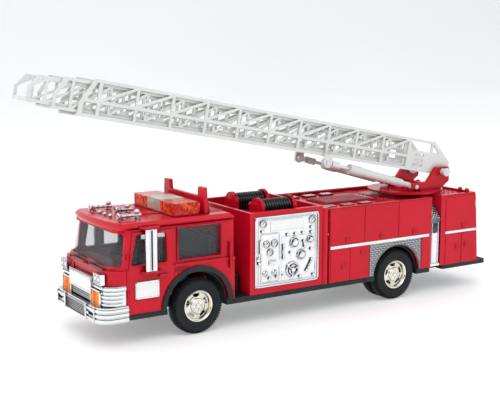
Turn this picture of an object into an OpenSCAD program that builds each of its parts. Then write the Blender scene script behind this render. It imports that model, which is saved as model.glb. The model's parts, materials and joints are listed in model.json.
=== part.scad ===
// Toy fire engine with a swivelling aerial ladder.
// The cab faces -X and the wheels stand on Z = 0. Built in a truck frame whose X = 0 is the front
// axle, then moved so that the origin is the middle of the whole toy on the ground.

/* [Body] */
// Width over the body sides
body_w = 67.8; // [66:0.2:72]
// Height of the body's lower edge
sill_z = 19.2; // [18.8:0.1:20]
// Height of the rear body's top rim
rim_z = 69; // [67:0.5:71]
// Moulded wall thickness
wall = 1.6; // [1.2:0.1:2]

/* [Cab] */
// Height of the cab roof's top face
roof_z = 72.8; // [72:0.1:74]
// Front face of the cab below the windscreen
cab_front_x = -60; // [-61:0.5:-59]
// Rear face of the cab
cab_rear_x = 25; // [23:0.5:26]

/* [Wheels] */
// Distance between the axles
wheelbase = 155.9; // [150:0.1:160]
// Tyre diameter
tyre_d = 35; // [33:0.5:36]
// Width of one tyre
tyre_w = 8.4; // [7:0.1:9]
// Axle diameter
axle_d = 3; // [2:0.5:4]

/* [Ladder] */
// Pitch of the ladder in the displayed pose, in degrees
pitch = 10.9; // [2:0.1:40]
// Distance between the ladder's uprights
bay = 23.95; // [22:0.05:24]
// Half width of the base section
base_hw = 14.2; // [13.5:0.1:14.2]
// Thickness of a ladder side
side_t = 1.2; // [1:0.1:1.4]

/* [Hidden] */
$fn = 48;
hw = body_w / 2;
e = 0.01;
clear = 0.3;
wheel_r = tyre_d / 2;

// Ladder pivot and the lift cylinders
pivot = [211, 0, 83.5];
swivel_x = 191.5;
base_len = 283.9;
middle_tip = 299;
fly_tip = 313.9;
lift_uw = [103.2, -6.7];
lift_low = [186.4, 74.2];
lift_high = ladder_point(lift_uw);
lift_run = [lift_low[0] - lift_high[0], lift_high[1] - lift_low[1]];
lift_angle = atan2(lift_run[1], lift_run[0]);
lift_len = norm(lift_run);
lift_y = 14.35;

step_x = 241.5;
tail_x = 232.6;
recess = [187, 196];
frame_x = (ladder_point([fly_tip, 0.75])[0] + step_x) / 2;

// World X and Z of a point given along and above the ladder's pivot line
function ladder_point(p) = [pivot[0] - p[0] * cos(pitch) + p[1] * sin(pitch),
    pivot[2] + p[0] * sin(pitch) + p[1] * cos(pitch)];

// ---------- helpers ----------
module placed() translate([-frame_x, 0, 0]) children();
module both_sides() {
    children();
    mirror([0, 1, 0]) children();
}
module block(x0, x1, y0, y1, z0, z1) translate([x0, y0, z0]) cube([x1 - x0, y1 - y0, z1 - z0]);
// A profile drawn in X and Z, extruded from y0 to y1
module slab(y0, y1) translate([0, y1, 0]) rotate([90, 0, 0]) linear_extrude(y1 - y0) children();
// A rod along Y
module y_rod(x, z, r, y0, y1) translate([x, y1, z]) rotate([90, 0, 0]) cylinder(r = r, h = y1 - y0);
// A rod along X
module x_rod(y, z, r, x0, x1) translate([x0, y, z]) rotate([0, 90, 0]) cylinder(r = r, h = x1 - x0);
// Rectangle with round corners, made of true arcs
module round_rect(x0, x1, y0, y1, r) {
    translate([x0 + r, y0]) square([x1 - x0 - 2 * r, y1 - y0]);
    translate([x0, y0 + r]) square([x1 - x0, y1 - y0 - 2 * r]);
    for (x = [x0 + r, x1 - r], y = [y0 + r, y1 - r]) translate([x, y]) circle(r);
}
// Rectangle in plan whose two front corners are round
module nose_plan(x0, x1, w, r) {
    translate([x0 + r, -w / 2]) square([x1 - x0 - r, w]);
    translate([x0, -w / 2 + r]) square([r + 1, w - 2 * r]);
    for (s = [-1, 1]) translate([x0 + r, s * (w / 2 - r)]) circle(r);
}

// ---------- chassis and running gear ----------
pan_z = [15.6, 19];
front_arch = [-0.9, 18, 22];
rear_arch = [wheelbase, 18, 20.3];
well_y = 15.2;

module wheel_well(arch, r) translate([arch[0], 0, arch[1]]) rotate([90, 0, 0])
    cylinder(r = r, h = 90, center = true);

module chassis() color([0.13, 0.15, 0.16]) placed() {
    difference() {
        union() {
            block(-46, recess[0] - 0.2, -hw + 0.5, hw - 0.5, pan_z[0], pan_z[1]);
            block(recess[0] - 1, 200, -hw + 9, hw - 9, pan_z[0], pan_z[1]);
            slab_step();
            // bearing spines over the two axles
            for (x = [0, wheelbase]) block(x - 9, x + 9, -13, 13, 13, 24);
            // equipment box seen in the gap behind the cab
            block(cab_rear_x + 1.5, cab_rear_x + 10, -22, 22, pan_z[1] - e, 31);
            // wheel well liners
            both_sides() for (a = [front_arch, rear_arch]) intersection() {
                block(a[0] - 30, a[0] + 30, 15, hw - 2.2, pan_z[0], 50);
                difference() {
                    wheel_well(a, a[2] - 0.3);
                    wheel_well(a, a[2] - 1.3);
                }
            }
            // screw posts
            for (x = [-30, 70, 205]) for (y = [-9, 9]) translate([x, y, pan_z[1] - e]) cylinder(r = 3, h = 8);
        }
        both_sides() for (a = [front_arch, rear_arch]) intersection() {
            wheel_well(a, a[2] - 1.3);
            block(a[0] - 30, a[0] + 30, well_y, 60, 0, 60);
        }
        for (x = [0, wheelbase]) y_rod(x, wheel_r, axle_d / 2 + 0.05, -40, 40);
        for (x = [-30, 70, 205]) for (y = [-9, 9]) translate([x, y, 10]) {
            cylinder(r = 1.1, h = 14);
            cylinder(r = 2.2, h = 7.6);
        }
        // battery opening and switch slot
        block(98, 144, -12.2, 12.2, 0, 40);
        block(58, 68, -1.6, 1.6, 0, 40);
    }
}
module slab_step() {
    translate([0, 0, pan_z[0] + 0.4]) linear_extrude(pan_z[1] - pan_z[0] - 0.4)
        round_rect(198.8, step_x, -hw + 0.3, hw - 0.3, 2.5);
}
module chassis_screws() color([0.7, 0.71, 0.72]) placed()
    for (x = [-30, 70, 205]) for (y = [-9, 9]) translate([x, y, 0]) difference() {
        union() {
            translate([0, 0, 15.9]) cylinder(r = 2, h = 1.6);
            translate([0, 0, 17.4]) cylinder(r = 1, h = 6.4);
        }
        for (a = [0, 90]) rotate(a) translate([-1.4, -0.3, 15.8]) cube([2.8, 0.6, 0.8]);
    }
module battery_box() color([0.18, 0.18, 0.2]) placed() difference() {
    block(96, 146, -14, 14, pan_z[1], 36);
    block(98, 144, -12.2, 12.2, 0, 34.6);
}
module batteries() color([0.78, 0.6, 0.25]) placed() for (y = [-5.9, 5.9]) {
    x_rod(y, 26, 5.2, 99.4, 142);
    x_rod(y, 26, 1.9, 141.9, 142.9);
}
module battery_contacts() color([0.75, 0.76, 0.77]) placed() for (y = [-5.9, 5.9]) {
    block(98.05, 98.6, y - 4, y + 4, 22, 30);
    block(143.4, 143.95, y - 4, y + 4, 22, 30);
}
module battery_cover() color([0.15, 0.17, 0.18]) placed() {
    difference() {
        union() {
            block(98.3, 143.7, -11.9, 11.9, 15.8, 17.4);
            block(102, 105, -6, 6, 17.3, 19.6);
        }
        for (y = [-8 : 2 : 8]) block(106, 134, y - 0.35, y + 0.35, 15.7, 16.2);
        translate([139, 0, 10]) cylinder(r = 1.6, h = 20);
    }
}
module switch_slider() color([0.1, 0.1, 0.1]) placed() {
    difference() {
        union() {
            block(58.4, 64.2, -1.3, 1.3, 14.4, 21);
            block(57, 66, -3.5, 3.5, 19.2, 21);
        }
        for (x = [59.6 : 1.2 : 63.5]) block(x, x + 0.5, -2, 2, 14.3, 14.9);
    }
}

// Tyre as a turned ring with rounded shoulders and ribs on its side
module tyre(w) rotate([90, 0, 0]) rotate_extrude($fn = 96) {
    difference() {
        translate([9.9, -w / 2]) square([wheel_r - 9.9, w]);
        for (s = [-1, 1]) translate([wheel_r - 1.4, s * (w / 2 - 1.4)]) difference() {
            translate([0, s > 0 ? 0 : -2]) square([2, 2]);
            circle(1.4);
        }
        for (r = [11.6, 14.2]) translate([r, w / 2 - 0.3]) square([0.6, 1]);
        for (r = [11.6, 14.2]) translate([r, -w / 2 - 0.7]) square([0.6, 1]);
        for (y = [-w / 4, 0, w / 4]) translate([wheel_r - 0.5, y - 0.25]) square([1, 0.5]);
    }
}
// Rim with a dished face, five openings and a raised hub; its face looks along -Y
module rim(w) difference() {
    union() {
        rotate([90, 0, 0]) rotate_extrude($fn = 96) {
            translate([8.6, -w / 2]) square([1.25, w]);
            translate([1.52, -1.5]) square([8, 2.4]);
            translate([1.52, -1.5]) square([3, w / 2 + 1.2]);
            translate([8.2, w / 2 - 0.6]) square([1.65, 0.6]);
        }
    }
    for (i = [0 : 4]) rotate([0, 72 * i + 36, 0]) translate([6.6, 0, 0]) rotate([90, 0, 0])
        cylinder(r = 1.45, h = 12, center = true);
}
front_tyre_y = hw - 0.9 - tyre_w / 2;
rear_tyre_y = [front_tyre_y, front_tyre_y - tyre_w - 0.4];
module tyre_pair(x, ys) placed() both_sides() for (y = ys)
    translate([x, -y, wheel_r]) color([0.14, 0.15, 0.16]) tyre(tyre_w);
module front_tyres() tyre_pair(0, [front_tyre_y]);
module rear_tyres() tyre_pair(wheelbase, rear_tyre_y);
module front_rims() color([0.86, 0.82, 0.72]) placed() both_sides()
    translate([0, -front_tyre_y, wheel_r]) rim(tyre_w);
module rear_rims() color([0.86, 0.82, 0.72]) placed() both_sides() {
    translate([wheelbase, -rear_tyre_y[0], wheel_r]) rim(tyre_w);
    translate([wheelbase, -rear_tyre_y[1], wheel_r]) rotate([90, 0, 0]) difference() {
        cylinder(r = 9.85, h = tyre_w, center = true);
        cylinder(r = axle_d / 2 + 0.02, h = 20, center = true);
    }
}
module front_axle() color([0.7, 0.7, 0.7]) placed() y_rod(0, wheel_r, axle_d / 2, -hw + 3, hw - 3);
module rear_axle() color([0.7, 0.7, 0.7]) placed()
    y_rod(wheelbase, wheel_r, axle_d / 2, -hw + 3, hw - 3);

// ---------- front end ----------
bumper_x = -65.7;
bumper_w = body_w + 1.6;
module front_bumper() color([0.85, 0.86, 0.88]) placed() difference() {
    union() {
        translate([0, 0, 15.4]) linear_extrude(9.5) nose_plan(bumper_x, -47.7, bumper_w, 9);
        // ribs round the front and sides
        for (z = [16.4, 19.3, 22.2]) translate([0, 0, z]) linear_extrude(1.5)
            nose_plan(bumper_x - 0.7, -47.7, bumper_w + 1.4, 9.6);
    }
    translate([0, 0, 14]) linear_extrude(9.6) nose_plan(bumper_x + 2, -40, bumper_w - 4, 7.4);
    // clearance for the cab behind it
    cab_gap(0.15);
    block(-58.5, -40, -28, 28, 14, 30);
    // grille field and lamp slots in the front face
    block(bumper_x - 2, bumper_x + 0.5, -14.5, 14.5, 16.6, 23.4);
    for (s = [-1, 1]) block(bumper_x - 2, bumper_x + 1.2, s * 23 - 3.4, s * 23 + 3.4, 19.6, 21);
}
panel_x = -62;
lamp_y = 21;
module cab_gap(c) translate([0, 0, 18.8]) linear_extrude(40)
    nose_plan(cab_front_x - c, -20, body_w + 2 * c, 9.6 + c);
module headlamp_panel() color([0.85, 0.86, 0.88]) placed() difference() {
    union() {
        translate([0, 0, 25.1]) linear_extrude(11.6) nose_plan(panel_x + 0.6, -49, body_w + 0.4, 8);
        for (i = [0 : 4]) translate([0, 0, 25.6 + 2.3 * i]) linear_extrude(1.3)
            nose_plan(panel_x, -49.4 + 0.9 * i - 3, body_w + 1.4, 8.4);
        // raised centre that carries the plate
        block(panel_x - 0.4, cab_front_x - 0.1, -17, 17, 29.4, 40.2);
    }
    cab_gap(0.1);
    // radiator slots under the plate
    for (z = [25.4 : 1.2 : 29]) block(panel_x - 2, panel_x + 1.2, -14, 14, z, z + 0.7);
    // lamp pockets
    for (s = [-1, 1]) block(panel_x - 2, panel_x + 1.3, s * lamp_y - 6, s * lamp_y + 6, 25.2, 33.6);
}
module headlamp_lenses() color([0.95, 0.5, 0.1]) placed() for (s = [-1, 1])
    block(panel_x - 0.5, panel_x + 1.25, s * lamp_y - 5.8, s * lamp_y + 5.8, 25.4, 33.4);
pod_y = 24.6;
module lamp_pods() color([0.87, 0.88, 0.9]) placed() for (s = [-1, 1]) difference() {
    block(cab_front_x - 2.9, cab_front_x, s * pod_y - 4.8, s * pod_y + 4.8, 37.6, 43.9);
    for (d = [-2.3, 2.3]) x_rod(s * pod_y + d, 40.9, 1.7, cab_front_x - 3.4, cab_front_x - 2.4);
}

// ---------- cab ----------
belt_z = 45.6;
eave_z = 68.8;
screen = [47.6, 67];
module cab_plan(inset, front) nose_plan(front + inset, cab_rear_x - inset, body_w - 2 * inset, 9.6 - inset);
// Outer form: straight below the belt, leaning back above it
module cab_form(inset) {
    translate([0, 0, sill_z - (inset > 0 ? 1 : 0)]) linear_extrude(belt_z - sill_z + (inset > 0 ? 1 : 0))
        cab_plan(inset, cab_front_x);
    hull() {
        translate([0, 0, belt_z - e]) linear_extrude(0.2) cab_plan(inset + 0.5, cab_front_x + 1.4, $fn = 32);
        translate([0, 0, eave_z + (inset > 0 ? 1 : -0.2)]) linear_extrude(0.2)
            cab_plan(inset + 0.5, cab_front_x + 6.5, $fn = 32);
    }
}
module screen_cut() slab(-50, 50)
    polygon(rounded([[-70, screen[0]], [-50.2, screen[0]], [-48.2, screen[1]], [-70, screen[1]]], 2.6));
// Points of a round corner at p between the directions of a and b
function corner(p, a, b, r, n = 6) = let(
    u = (a - p) / norm(a - p), v = (b - p) / norm(b - p), h = acos(u * v) / 2,
    c = p + (u + v) / norm(u + v) * r / sin(h), s = p + u * r / tan(h) - c, t = p + v * r / tan(h) - c,
    a0 = atan2(s[1], s[0]), turn = (atan2(t[1], t[0]) - a0 + 540) % 360 - 180
) [for (i = [0 : n]) c + r * [cos(a0 + turn * i / n), sin(a0 + turn * i / n)]];
// A convex outline with every corner rounded
function rounded(pts, r) = let(n = len(pts)) [for (i = [0 : n - 1]) each
    corner(pts[i], pts[(i + n - 1) % n], pts[(i + 1) % n], r)];
// Side window outlines in X and Z
module front_window_shape() polygon(rounded([[-42, 65.9], [-22.3, 65.9], [-21.6, 47.8], [-45.6, 47.8]], 1.8));
module rear_window_shape() round_rect(-14.3, 15.2, 48, 67.6, 1.8);
module cab_shell() color([0.8, 0.08, 0.13]) placed() difference() {
    union() {
        difference() {
            cab_form(0);
            cab_form(wall);
            screen_cut();
            both_sides() slab(-50, -hw + 3) {
                front_window_shape();
                rear_window_shape();
            }
        }
        // belt ledge under the windscreen and round the sides
        difference() {
            translate([0, 0, belt_z - 1.6]) linear_extrude(1.5) cab_plan(-0.35, cab_front_x);
            translate([0, 0, belt_z - 3]) linear_extrude(5) cab_plan(wall, cab_front_x);
        }
        // door frames stand slightly proud
        both_sides() slab(-hw - 0.25, -hw + 0.5) difference() {
            polygon([[-46.6, 26], [-46.6, 46.5], [-44.4, 67.4], [-18.4, 67.4], [-18.4, 22], [-30, 20.4],
                [-44, 20.4]]);
            front_window_shape();
            front_flare_shape(26);
        }
    }
    both_sides() wheel_arch_cut(front_arch, 22.1);
    // recessed field on the front
    block(cab_front_x - 1, cab_front_x + 0.5, -16, 16, 38.6, 43.4);
    // vertical body seam and door gap
    both_sides() for (x = [-48.4, -16.9]) block(x, x + 0.35, -hw - 1, -hw + 0.6, sill_z, 46);
}
module front_flare_shape(r) translate([front_arch[0], front_arch[1]]) circle(r);
module wheel_arch_cut(arch, r) y_rod(arch[0], arch[1], r, -hw - 3, -hw + 3);
module wheel_flares() color([0.14, 0.16, 0.17]) placed() both_sides() difference() {
    y_rod(front_arch[0], front_arch[1], 24.9, -hw - 1.2, -hw - 0.3);
    y_rod(front_arch[0], front_arch[1], 21.9, -hw - 3, -hw + 3);
    block(-40, 40, -50, 50, -20, sill_z - 0.2);
}
module cab_roof() color([0.8, 0.08, 0.13]) placed() difference() {
    union() {
        hull() {
            translate([0, 0, eave_z]) linear_extrude(0.8) roof_plan(0.8, $fn = 32);
            translate([0, 0, eave_z + 1.5]) linear_extrude(0.8) roof_plan(0, $fn = 32);
            translate([0, 0, roof_z - 0.2]) linear_extrude(0.2) roof_plan(2.2, $fn = 32);
        }
        // two raised runners
        for (y = [-9, 9]) block(-34, -15, y - 1, y + 1, roof_z - 0.5, roof_z + 0.5);
        // textured rear plate
        for (x = [14.5 : 1.5 : 23]) block(x, x + 0.7, -24, 24, roof_z - 0.3, roof_z + 0.25);
    }
    translate([0, 0, eave_z - 1]) linear_extrude(2.2) cab_plan(3, cab_front_x + 7);
}
module roof_plan(inset) {
    translate([-50 + inset, -hw + 0.4 + inset])
        square([cab_rear_x + 50 - 2 * inset, body_w - 0.8 - 2 * inset]);
    // bowed visor
    polygon([[-49, -hw + 0.4 + inset], [-52.5 + inset, -hw + 4], [-55.6 + inset, -17], [-56.6 + inset, 0],
        [-55.6 + inset, 17], [-52.5 + inset, hw - 4], [-49, hw - 0.4 - inset]]);
}
glass_t = 0.9;
module windscreen() color([0.6, 0.68, 0.72, 0.4]) placed() intersection() {
    difference() {
        cab_form(wall + 0.1);
        cab_form(wall + 0.1 + glass_t);
    }
    block(-70, -47.5, -50, 50, belt_z + 0.5, eave_z - 0.3);
}
module side_windows() color([0.5, 0.58, 0.6, 0.4]) placed() both_sides()
    block(-46, 20, -hw + 0.6 + wall, -hw + 0.6 + wall + glass_t, belt_z + 0.5, eave_z - 0.3);
module dashboard() color([0.5, 0.05, 0.08]) placed() difference() {
    union() {
        slab_xy(38, 45.9) nose_plan(-54.4, -43, 57, 5);
        block(-45, -41, -26, -8, 42, 49.4);
    }
    block(-53, -44, -26, 26, 30, 44.6);
}
module steering_wheel() color([0.1, 0.1, 0.11]) placed() translate([-37.5, -17, 50.4]) rotate([0, 60, 0]) {
    rotate_extrude() translate([5, 0]) circle(0.7, $fn = 24);
    for (a = [0, 120, 240]) rotate([0, 90, a]) cylinder(r = 0.55, h = 5);
    translate([0, 0, -3.5]) cylinder(r = 0.9, h = 3.8);
}
module seats() color([0.16, 0.17, 0.19]) placed() {
    block(-40, 18, -31, 31, 40.2, 41.4);
    for (y = [-17, 17]) {
        block(-30, -18, y - 8, y + 8, 41.3, 45);
        block(-20.5, -17.5, y - 8, y + 8, 44.9, 59);
    }
    block(4, 14, -26, 26, 41.3, 45);
    block(11, 14, -26, 26, 44.9, 58);
}
module wipers() color([0.45, 0.46, 0.47]) placed() for (y = [-13, 13]) {
    block(-60.1, -58.9, y - 12, y + 9, belt_z + 0.03, belt_z + 0.8);
    block(-60.1, -58.9, y + 5, y + 7, belt_z + 0.7, belt_z + 1.5);
}
module grab_handles() color([0.8, 0.08, 0.13]) placed() both_sides() {
    translate([21.6, -hw - 1.3, 39.5]) cylinder(r = 0.75, h = 15.8);
    for (z = [39.6, 54.4]) y_rod(21.6, z, 0.75, -hw - 1.3, -hw);
    block(-27.6, -21.6, -hw - 1.4, -hw - 0.3, 39.6, 41.1);
}
// Brackets that carry the mirrors clear of the doors
module mirror_brackets() color([0.8, 0.08, 0.13]) placed() both_sides()
    for (z = [[69.2, hw - 0.32], [43, hw + 0.38]]) slab_xy(z[0], z[0] + 1.4)
        polygon([[-40, -z[1]], [-38, -hw - 4.6], [-29, -hw - 4.6], [-26, -z[1]]]);
module slab_xy(z0, z1) translate([0, 0, z0]) linear_extrude(z1 - z0) children();
module mirror_body() {
    for (x = [-36, -31.4]) translate([x, -hw - 3.2, 44.5]) cylinder(r = 1.5, h = 24.6);
    block(-36, -31.4, -hw - 4.2, -hw - 2.6, 44.5, 69.1);
    block(-36.6, -30.8, -hw - 2.8, -hw - 1.9, 45.6, 68);
}
module mirrors() color([0.86, 0.87, 0.89]) placed() both_sides() mirror_body();
module name_plates() color([0.93, 0.94, 0.93]) placed() {
    both_sides() block(-43, -27.8, -hw - 0.75, -hw - 0.27, 28, 38);
    block(panel_x - 1, panel_x - 0.42, -15, 15, 31, 38.6);
}

// ---------- roof equipment ----------
// One horn: flared bell, tube and a forked stand
module horn(x, y, len) translate([x, y, roof_z]) {
    translate([0, 0, 2.2]) rotate([0, 90, 0]) rotate_extrude() difference() {
        polygon([[0, 0], [2.1, 0], [2.1, 0.5], [1.25, 2.2], [0.9, 4], [0.9, len - 2], [1.4, len - 1.6],
            [1.4, len], [0, len]]);
        polygon([[0, -1], [1.6, -1], [0, 1.6]]);
    }
    for (s = [-0.8, 0.8]) translate([len - 3, s - 0.35, 0.01]) cube([2, 0.7, 2.2]);
    translate([2.6, -0.5, 0.01]) cube([1, 1, 1.6]);
}
module roof_horns() color([0.87, 0.88, 0.9]) placed() {
    horn(-47.2, 19.2, 14.5);
    horn(-46.4, -19.4, 14.5);
    horn(-38, 2.4, 10.5);
    for (y = [-7.6, 0, 7.6]) translate([-45.8, y, roof_z + 0.01]) {
        cylinder(r = 1.3, h = 0.9);
        translate([0, 0, 1.15]) sphere(r = 1.1, $fn = 24);
    }
}
bar_x = [-13.5, 4.3];
bar_hw = 27.4;
bar_mid = 9.2;
bar_top = 80.6;
module light_bar_base() color([0.8, 0.08, 0.13]) placed()
    slab_xy(roof_z, roof_z + 1.1) round_rect(bar_x[0], bar_x[1], -bar_hw, bar_hw, 1.5);
module light_bar_reflectors() color([0.85, 0.86, 0.88]) placed() both_sides()
    for (r = [[-7.6, -14, 90], [-3.6, -21.6, 180]]) translate([r[0], r[1], roof_z + 4.1]) rotate(r[2])
        rotate([90, 0, 0]) mirror([0, 0, 1]) difference() {
            cylinder(r = 2.4, h = 3.4);
            translate([0, 0, 4.2]) sphere(r = 2.3);
        }
module lens_shell(y0, y1, top) difference() {
    slab_xy(roof_z + 1.15, top) round_rect(bar_x[0] + 0.3, bar_x[1] - 0.3, y0, y1, 1);
    slab_xy(roof_z, top - 0.9) round_rect(bar_x[0] + 1.2, bar_x[1] - 1.2, y0 + 0.9, y1 - 0.9, 0.5);
}
module light_bar_lenses() color([0.85, 0.08, 0.05, 0.6]) placed() both_sides()
    lens_shell(bar_mid + 0.1, bar_hw - 0.3, bar_top);
module light_bar_centre() color([0.75, 0.75, 0.68, 0.6]) placed()
    lens_shell(-bar_mid, bar_mid, bar_top);
rest_x = [8, 10.6];
rest_z = 82.9;
module ladder_rest() color([0.8, 0.08, 0.13]) placed() {
    translate([rest_x[1], 0, 0]) rotate([90, 0, -90]) linear_extrude(rest_x[1] - rest_x[0]) {
        both_posts() polygon([[16.9, roof_z], [26.9, roof_z], [25.6, 88.7], [18.4, 88.7], [17.6, rest_z]]);
        translate([-18, rest_z - 4.6]) square([36, 4.6]);
    }
    for (s = [-1, 1]) translate([rest_x[1] - e, s * 21.9 - 1.3, 0]) rotate([90, 0, 0])
        translate([0, 0, -2.6]) linear_extrude(2.6)
        polygon([[0, roof_z], [3.4, roof_z], [1.4, 84], [0, 85]]);
}
module both_posts() {
    children();
    mirror([1, 0]) children();
}

// ---------- pump section ----------
pump_x = [36.3, 92.2];
pump_z = 71.4;
tray_z = 63.4;
post = [95, hw - 2.8];
module pump_body() color([0.8, 0.08, 0.13]) placed() difference() {
    union() {
        block(pump_x[0], pump_x[1], -hw, hw, sill_z, pump_z);
        both_sides() translate([post[0], -post[1], sill_z]) cylinder(r = 3, h = pump_z - sill_z - 1.6);
    }
    block(pump_x[0] + wall, pump_x[1] - wall, -hw + wall, hw - wall, sill_z - 1, tray_z - 1.5);
    block(pump_x[0] + 2, pump_x[1] - 2, -hw + 2.2, hw - 2.2, tray_z, 80);
    // pockets for the pump panels
    both_sides() block(39.6, 89.2, -hw - 1, -hw + 0.9, 22.8, 68.6);
}
// One pump panel in X and Z, standing out along -Y
gauge_spots = [[45.6, 63.6, 2.2], [83.4, 63.8, 2.2], [48.6, 50.6, 2.1], [54.6, 50.7, 2.3], [51, 45.2, 2.2],
    [69.8, 49.7, 3.3], [82.2, 50.2, 2.2], [74.8, 41.3, 3.3], [68.3, 32.2, 4.6], [47.6, 30.4, 1.3],
    [54.5, 30.4, 1.3], [82.8, 43.6, 1.2], [66.8, 43.6, 1.2], [84.8, 27, 1.2], [74.2, 27, 1.2],
    [82.9, 58, 1.1]];
module pump_panel_form() {
    difference() {
        block(39.8, 89, -hw - 0.5, -hw + 0.85, 23, 68.4);
        block(41.6, 87.2, -hw - 2, -hw + 0.1, 24.8, 66.6);
    }
    // raised left-hand control field and blank name plate
    block(43.4, 59, -hw - 0.15, -hw + 0.2, 26.4, 58.6);
    block(50.8, 77.3, -hw - 0.3, -hw + 0.2, 58.6, 65.6);
    for (g = gauge_spots) {
        y_rod(g[0], g[1], g[2], -hw - 0.9, -hw + 0.2);
        y_rod(g[0], g[1], g[2] * 0.62, -hw - 1.5, -hw);
    }
    for (x = [64.3, 70.3, 76.3, 82.9]) y_rod(x, 55.3, 0.8, -hw - 1, -hw + 0.2);
    for (z = [45, 49]) block(60.4, 61.8, -hw - 1.2, -hw + 0.2, z - 3.6, z - 0.6);
    for (s = [0, 1]) translate([80.6 + 3 * s, -hw + 0.2, 33 + 5 * s]) rotate([90, 25, 0])
        translate([-0.6, -2.4, 0])
        cube([1.2, 4.8, 1.3]);
}
module left_pump_panel() color([0.88, 0.89, 0.9]) placed() pump_panel_form();
module right_pump_panel() color([0.88, 0.89, 0.9]) placed() mirror([0, 1, 0]) pump_panel_form();
reel_y = 16;
reel_z = 70.3;
reel_x = [53.6, 78.2];
module reel_brackets() color([0.8, 0.08, 0.13]) placed() {
    for (x = reel_x, s = [-1, 1]) difference() {
        union() {
            x_rod(s * reel_y, reel_z, 7, x - 1.2, x + 1.2);
            block(x - 1.2, x + 1.2, s * reel_y - 7, s * reel_y + 7, tray_z, reel_z);
        }
        x_rod(s * reel_y, reel_z, 1.25, x - 5, x + 5);
    }
    translate([56, -4, tray_z]) cylinder(r = 1.2, h = 7.6);
    translate([56, -4, 71.4]) sphere(r = 1.7, $fn = 32);
}
module hose_reel(s) {
    x0 = reel_x[0] + 1.5;
    x1 = reel_x[1] - 1.5;
    turns = 10;
    gap = (x1 - x0) / turns;
    translate([x0, s * reel_y, reel_z]) rotate([0, 90, 0]) rotate_extrude() {
        square([4.9, x1 - x0]);
        for (i = [0 : turns - 1]) translate([4.8, gap * (i + 0.5)]) circle(gap / 2 - 0.02, $fn = 24);
    }
    x_rod(s * reel_y, reel_z, 1.2, reel_x[0] - 1.4, reel_x[1] + 1.4);
}
module left_hose_reel() color([0.07, 0.07, 0.08]) placed() hose_reel(-1);
module right_hose_reel() color([0.07, 0.07, 0.08]) placed() hose_reel(1);

// ---------- rear body ----------
body_x = 98;
deck_z = 67;
slope_top = [20.4, 68.4];
slope_low = [33, 53.4];
// Front view outline of the waist between the two side recesses, in Y and Z
module waist_shape() polygon([[-slope_top[0], slope_top[1]], [slope_top[0], slope_top[1]],
    [slope_low[0], slope_low[1]],
    [slope_low[0], 51], [25.5, 51], [25.5, sill_z], [-25.5, sill_z], [-25.5, 51], [-slope_low[0], 51],
    [-slope_low[0], slope_low[1]]]);
module along_x(x0, x1) translate([x0, 0, 0]) rotate([90, 0, 90]) linear_extrude(x1 - x0) children();
// Side elevation of the tail, which narrows slightly towards its top
tail_z = 69.6;
module tail_shape(i = 0) polygon([[recess[1] + i, sill_z - 2 * i], [tail_x - i, sill_z - 2 * i],
    [228.6 - i, tail_z - 2 * i], [recess[1] + i, tail_z - 2 * i]]);
module door(x0, x1, z0, z1) slab(-hw - 0.35, -hw + 0.4) round_rect(x0, x1, z0, z1, 0.7);
module latch(x, z) {
    block(x - 1.6, x + 1.6, -hw - 0.75, -hw, z - 1.8, z + 1.8);
}
module rear_body() color([0.8, 0.08, 0.13]) placed() difference() {
    union() {
        difference() {
            union() {
                block(body_x - 5, recess[0], -hw + 0.9, hw - 0.9, sill_z, rim_z);
                block(body_x, recess[0], -hw, hw, sill_z, rim_z);
                along_x(recess[0] - 1, recess[1] + 1) waist_shape();
                slab(-hw, hw) tail_shape();
            }
            // hollow inside
            block(body_x - 5 + wall, recess[0] - wall, -hw + wall, hw - wall, sill_z - 1, deck_z - wall);
            block(recess[0] - 5, recess[1] + 5, -23.9, 23.9, sill_z - 1, 64);
            slab(-hw + wall, hw - wall) tail_shape(wall);
            // sunk deck and tail bed
            block(body_x - 1.5, recess[0] - 1.8, -hw + 2, hw - 2, deck_z, 80);
            block(recess[1] + 4, 226.4, -hw + 2.4, hw - 2.4, 68.4, 80);
            // clearance for the rounded posts of the pump section
            both_sides() translate([post[0], -post[1], 0]) cylinder(r = 3.3, h = 100);
        }
        // turntable seat
        translate([swivel_x, 0, deck_z - wall]) cylinder(r = 20, h = rim_z + 0.6 - deck_z + wall, $fn = 96);
        // raised hose bed with cross ribs
        block(112, 155, -12, 12, deck_z - e, deck_z + 1);
        for (x = [114 : 2.4 : 152]) block(x, x + 1, -11, 11, deck_z + 0.9, deck_z + 1.5);
        for (s = [-1, 1], x = [102, 117, 132])
            block(x, x + 9, s * 22 - 3, s * 22 + 3, deck_z - e, deck_z + 1.4);
        // ribs inside the tail bed
        both_sides() for (x = [201 : 2.6 : 224]) block(x, x + 1.2, -hw + 2.2, -hw + 3, 68.3, 69.4);
        // doors and latches
        both_sides() {
            for (d = [[98.6, 126.5], [127.4, 156], [157, 184.6]]) {
                door(d[0], d[1], 44, 68.2);
                latch((d[0] + d[1]) / 2, 46.8);
            }
            door(99, 114.5, sill_z, 41.2);
            latch(109.5, 29);
            door(115.2, 131.2, sill_z, 41.2);
            y_rod(126, 37, 2.2, -hw - 0.7, -hw);
            door(178.2, 186.6, sill_z, 41.2);
            door(200.4, 229, 43.4, 67.3);
            latch(217.4, 46.6);
            door(200.8, 215.4, sill_z, 41);
            door(216.4, 230.8, sill_z, 41);
            latch(211.6, 32);
            latch(220.4, 32);
        }
        x_rod(0, 62, 1.4, tail_x - 4, 232);
    }
    both_sides() wheel_arch_cut(rear_arch, rear_arch[2] + 0.1);
    translate([swivel_x, 0, 50]) cylinder(r = 6.05, h = 40);
}
module side_stripes() color([0.96, 0.96, 0.95]) placed() both_sides() {
    block(98.8, 184.8, -hw - 0.45, -hw, 41.5, 43.4);
    block(200.4, 230, -hw - 0.45, -hw, 41.5, 43.2);
}
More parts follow.
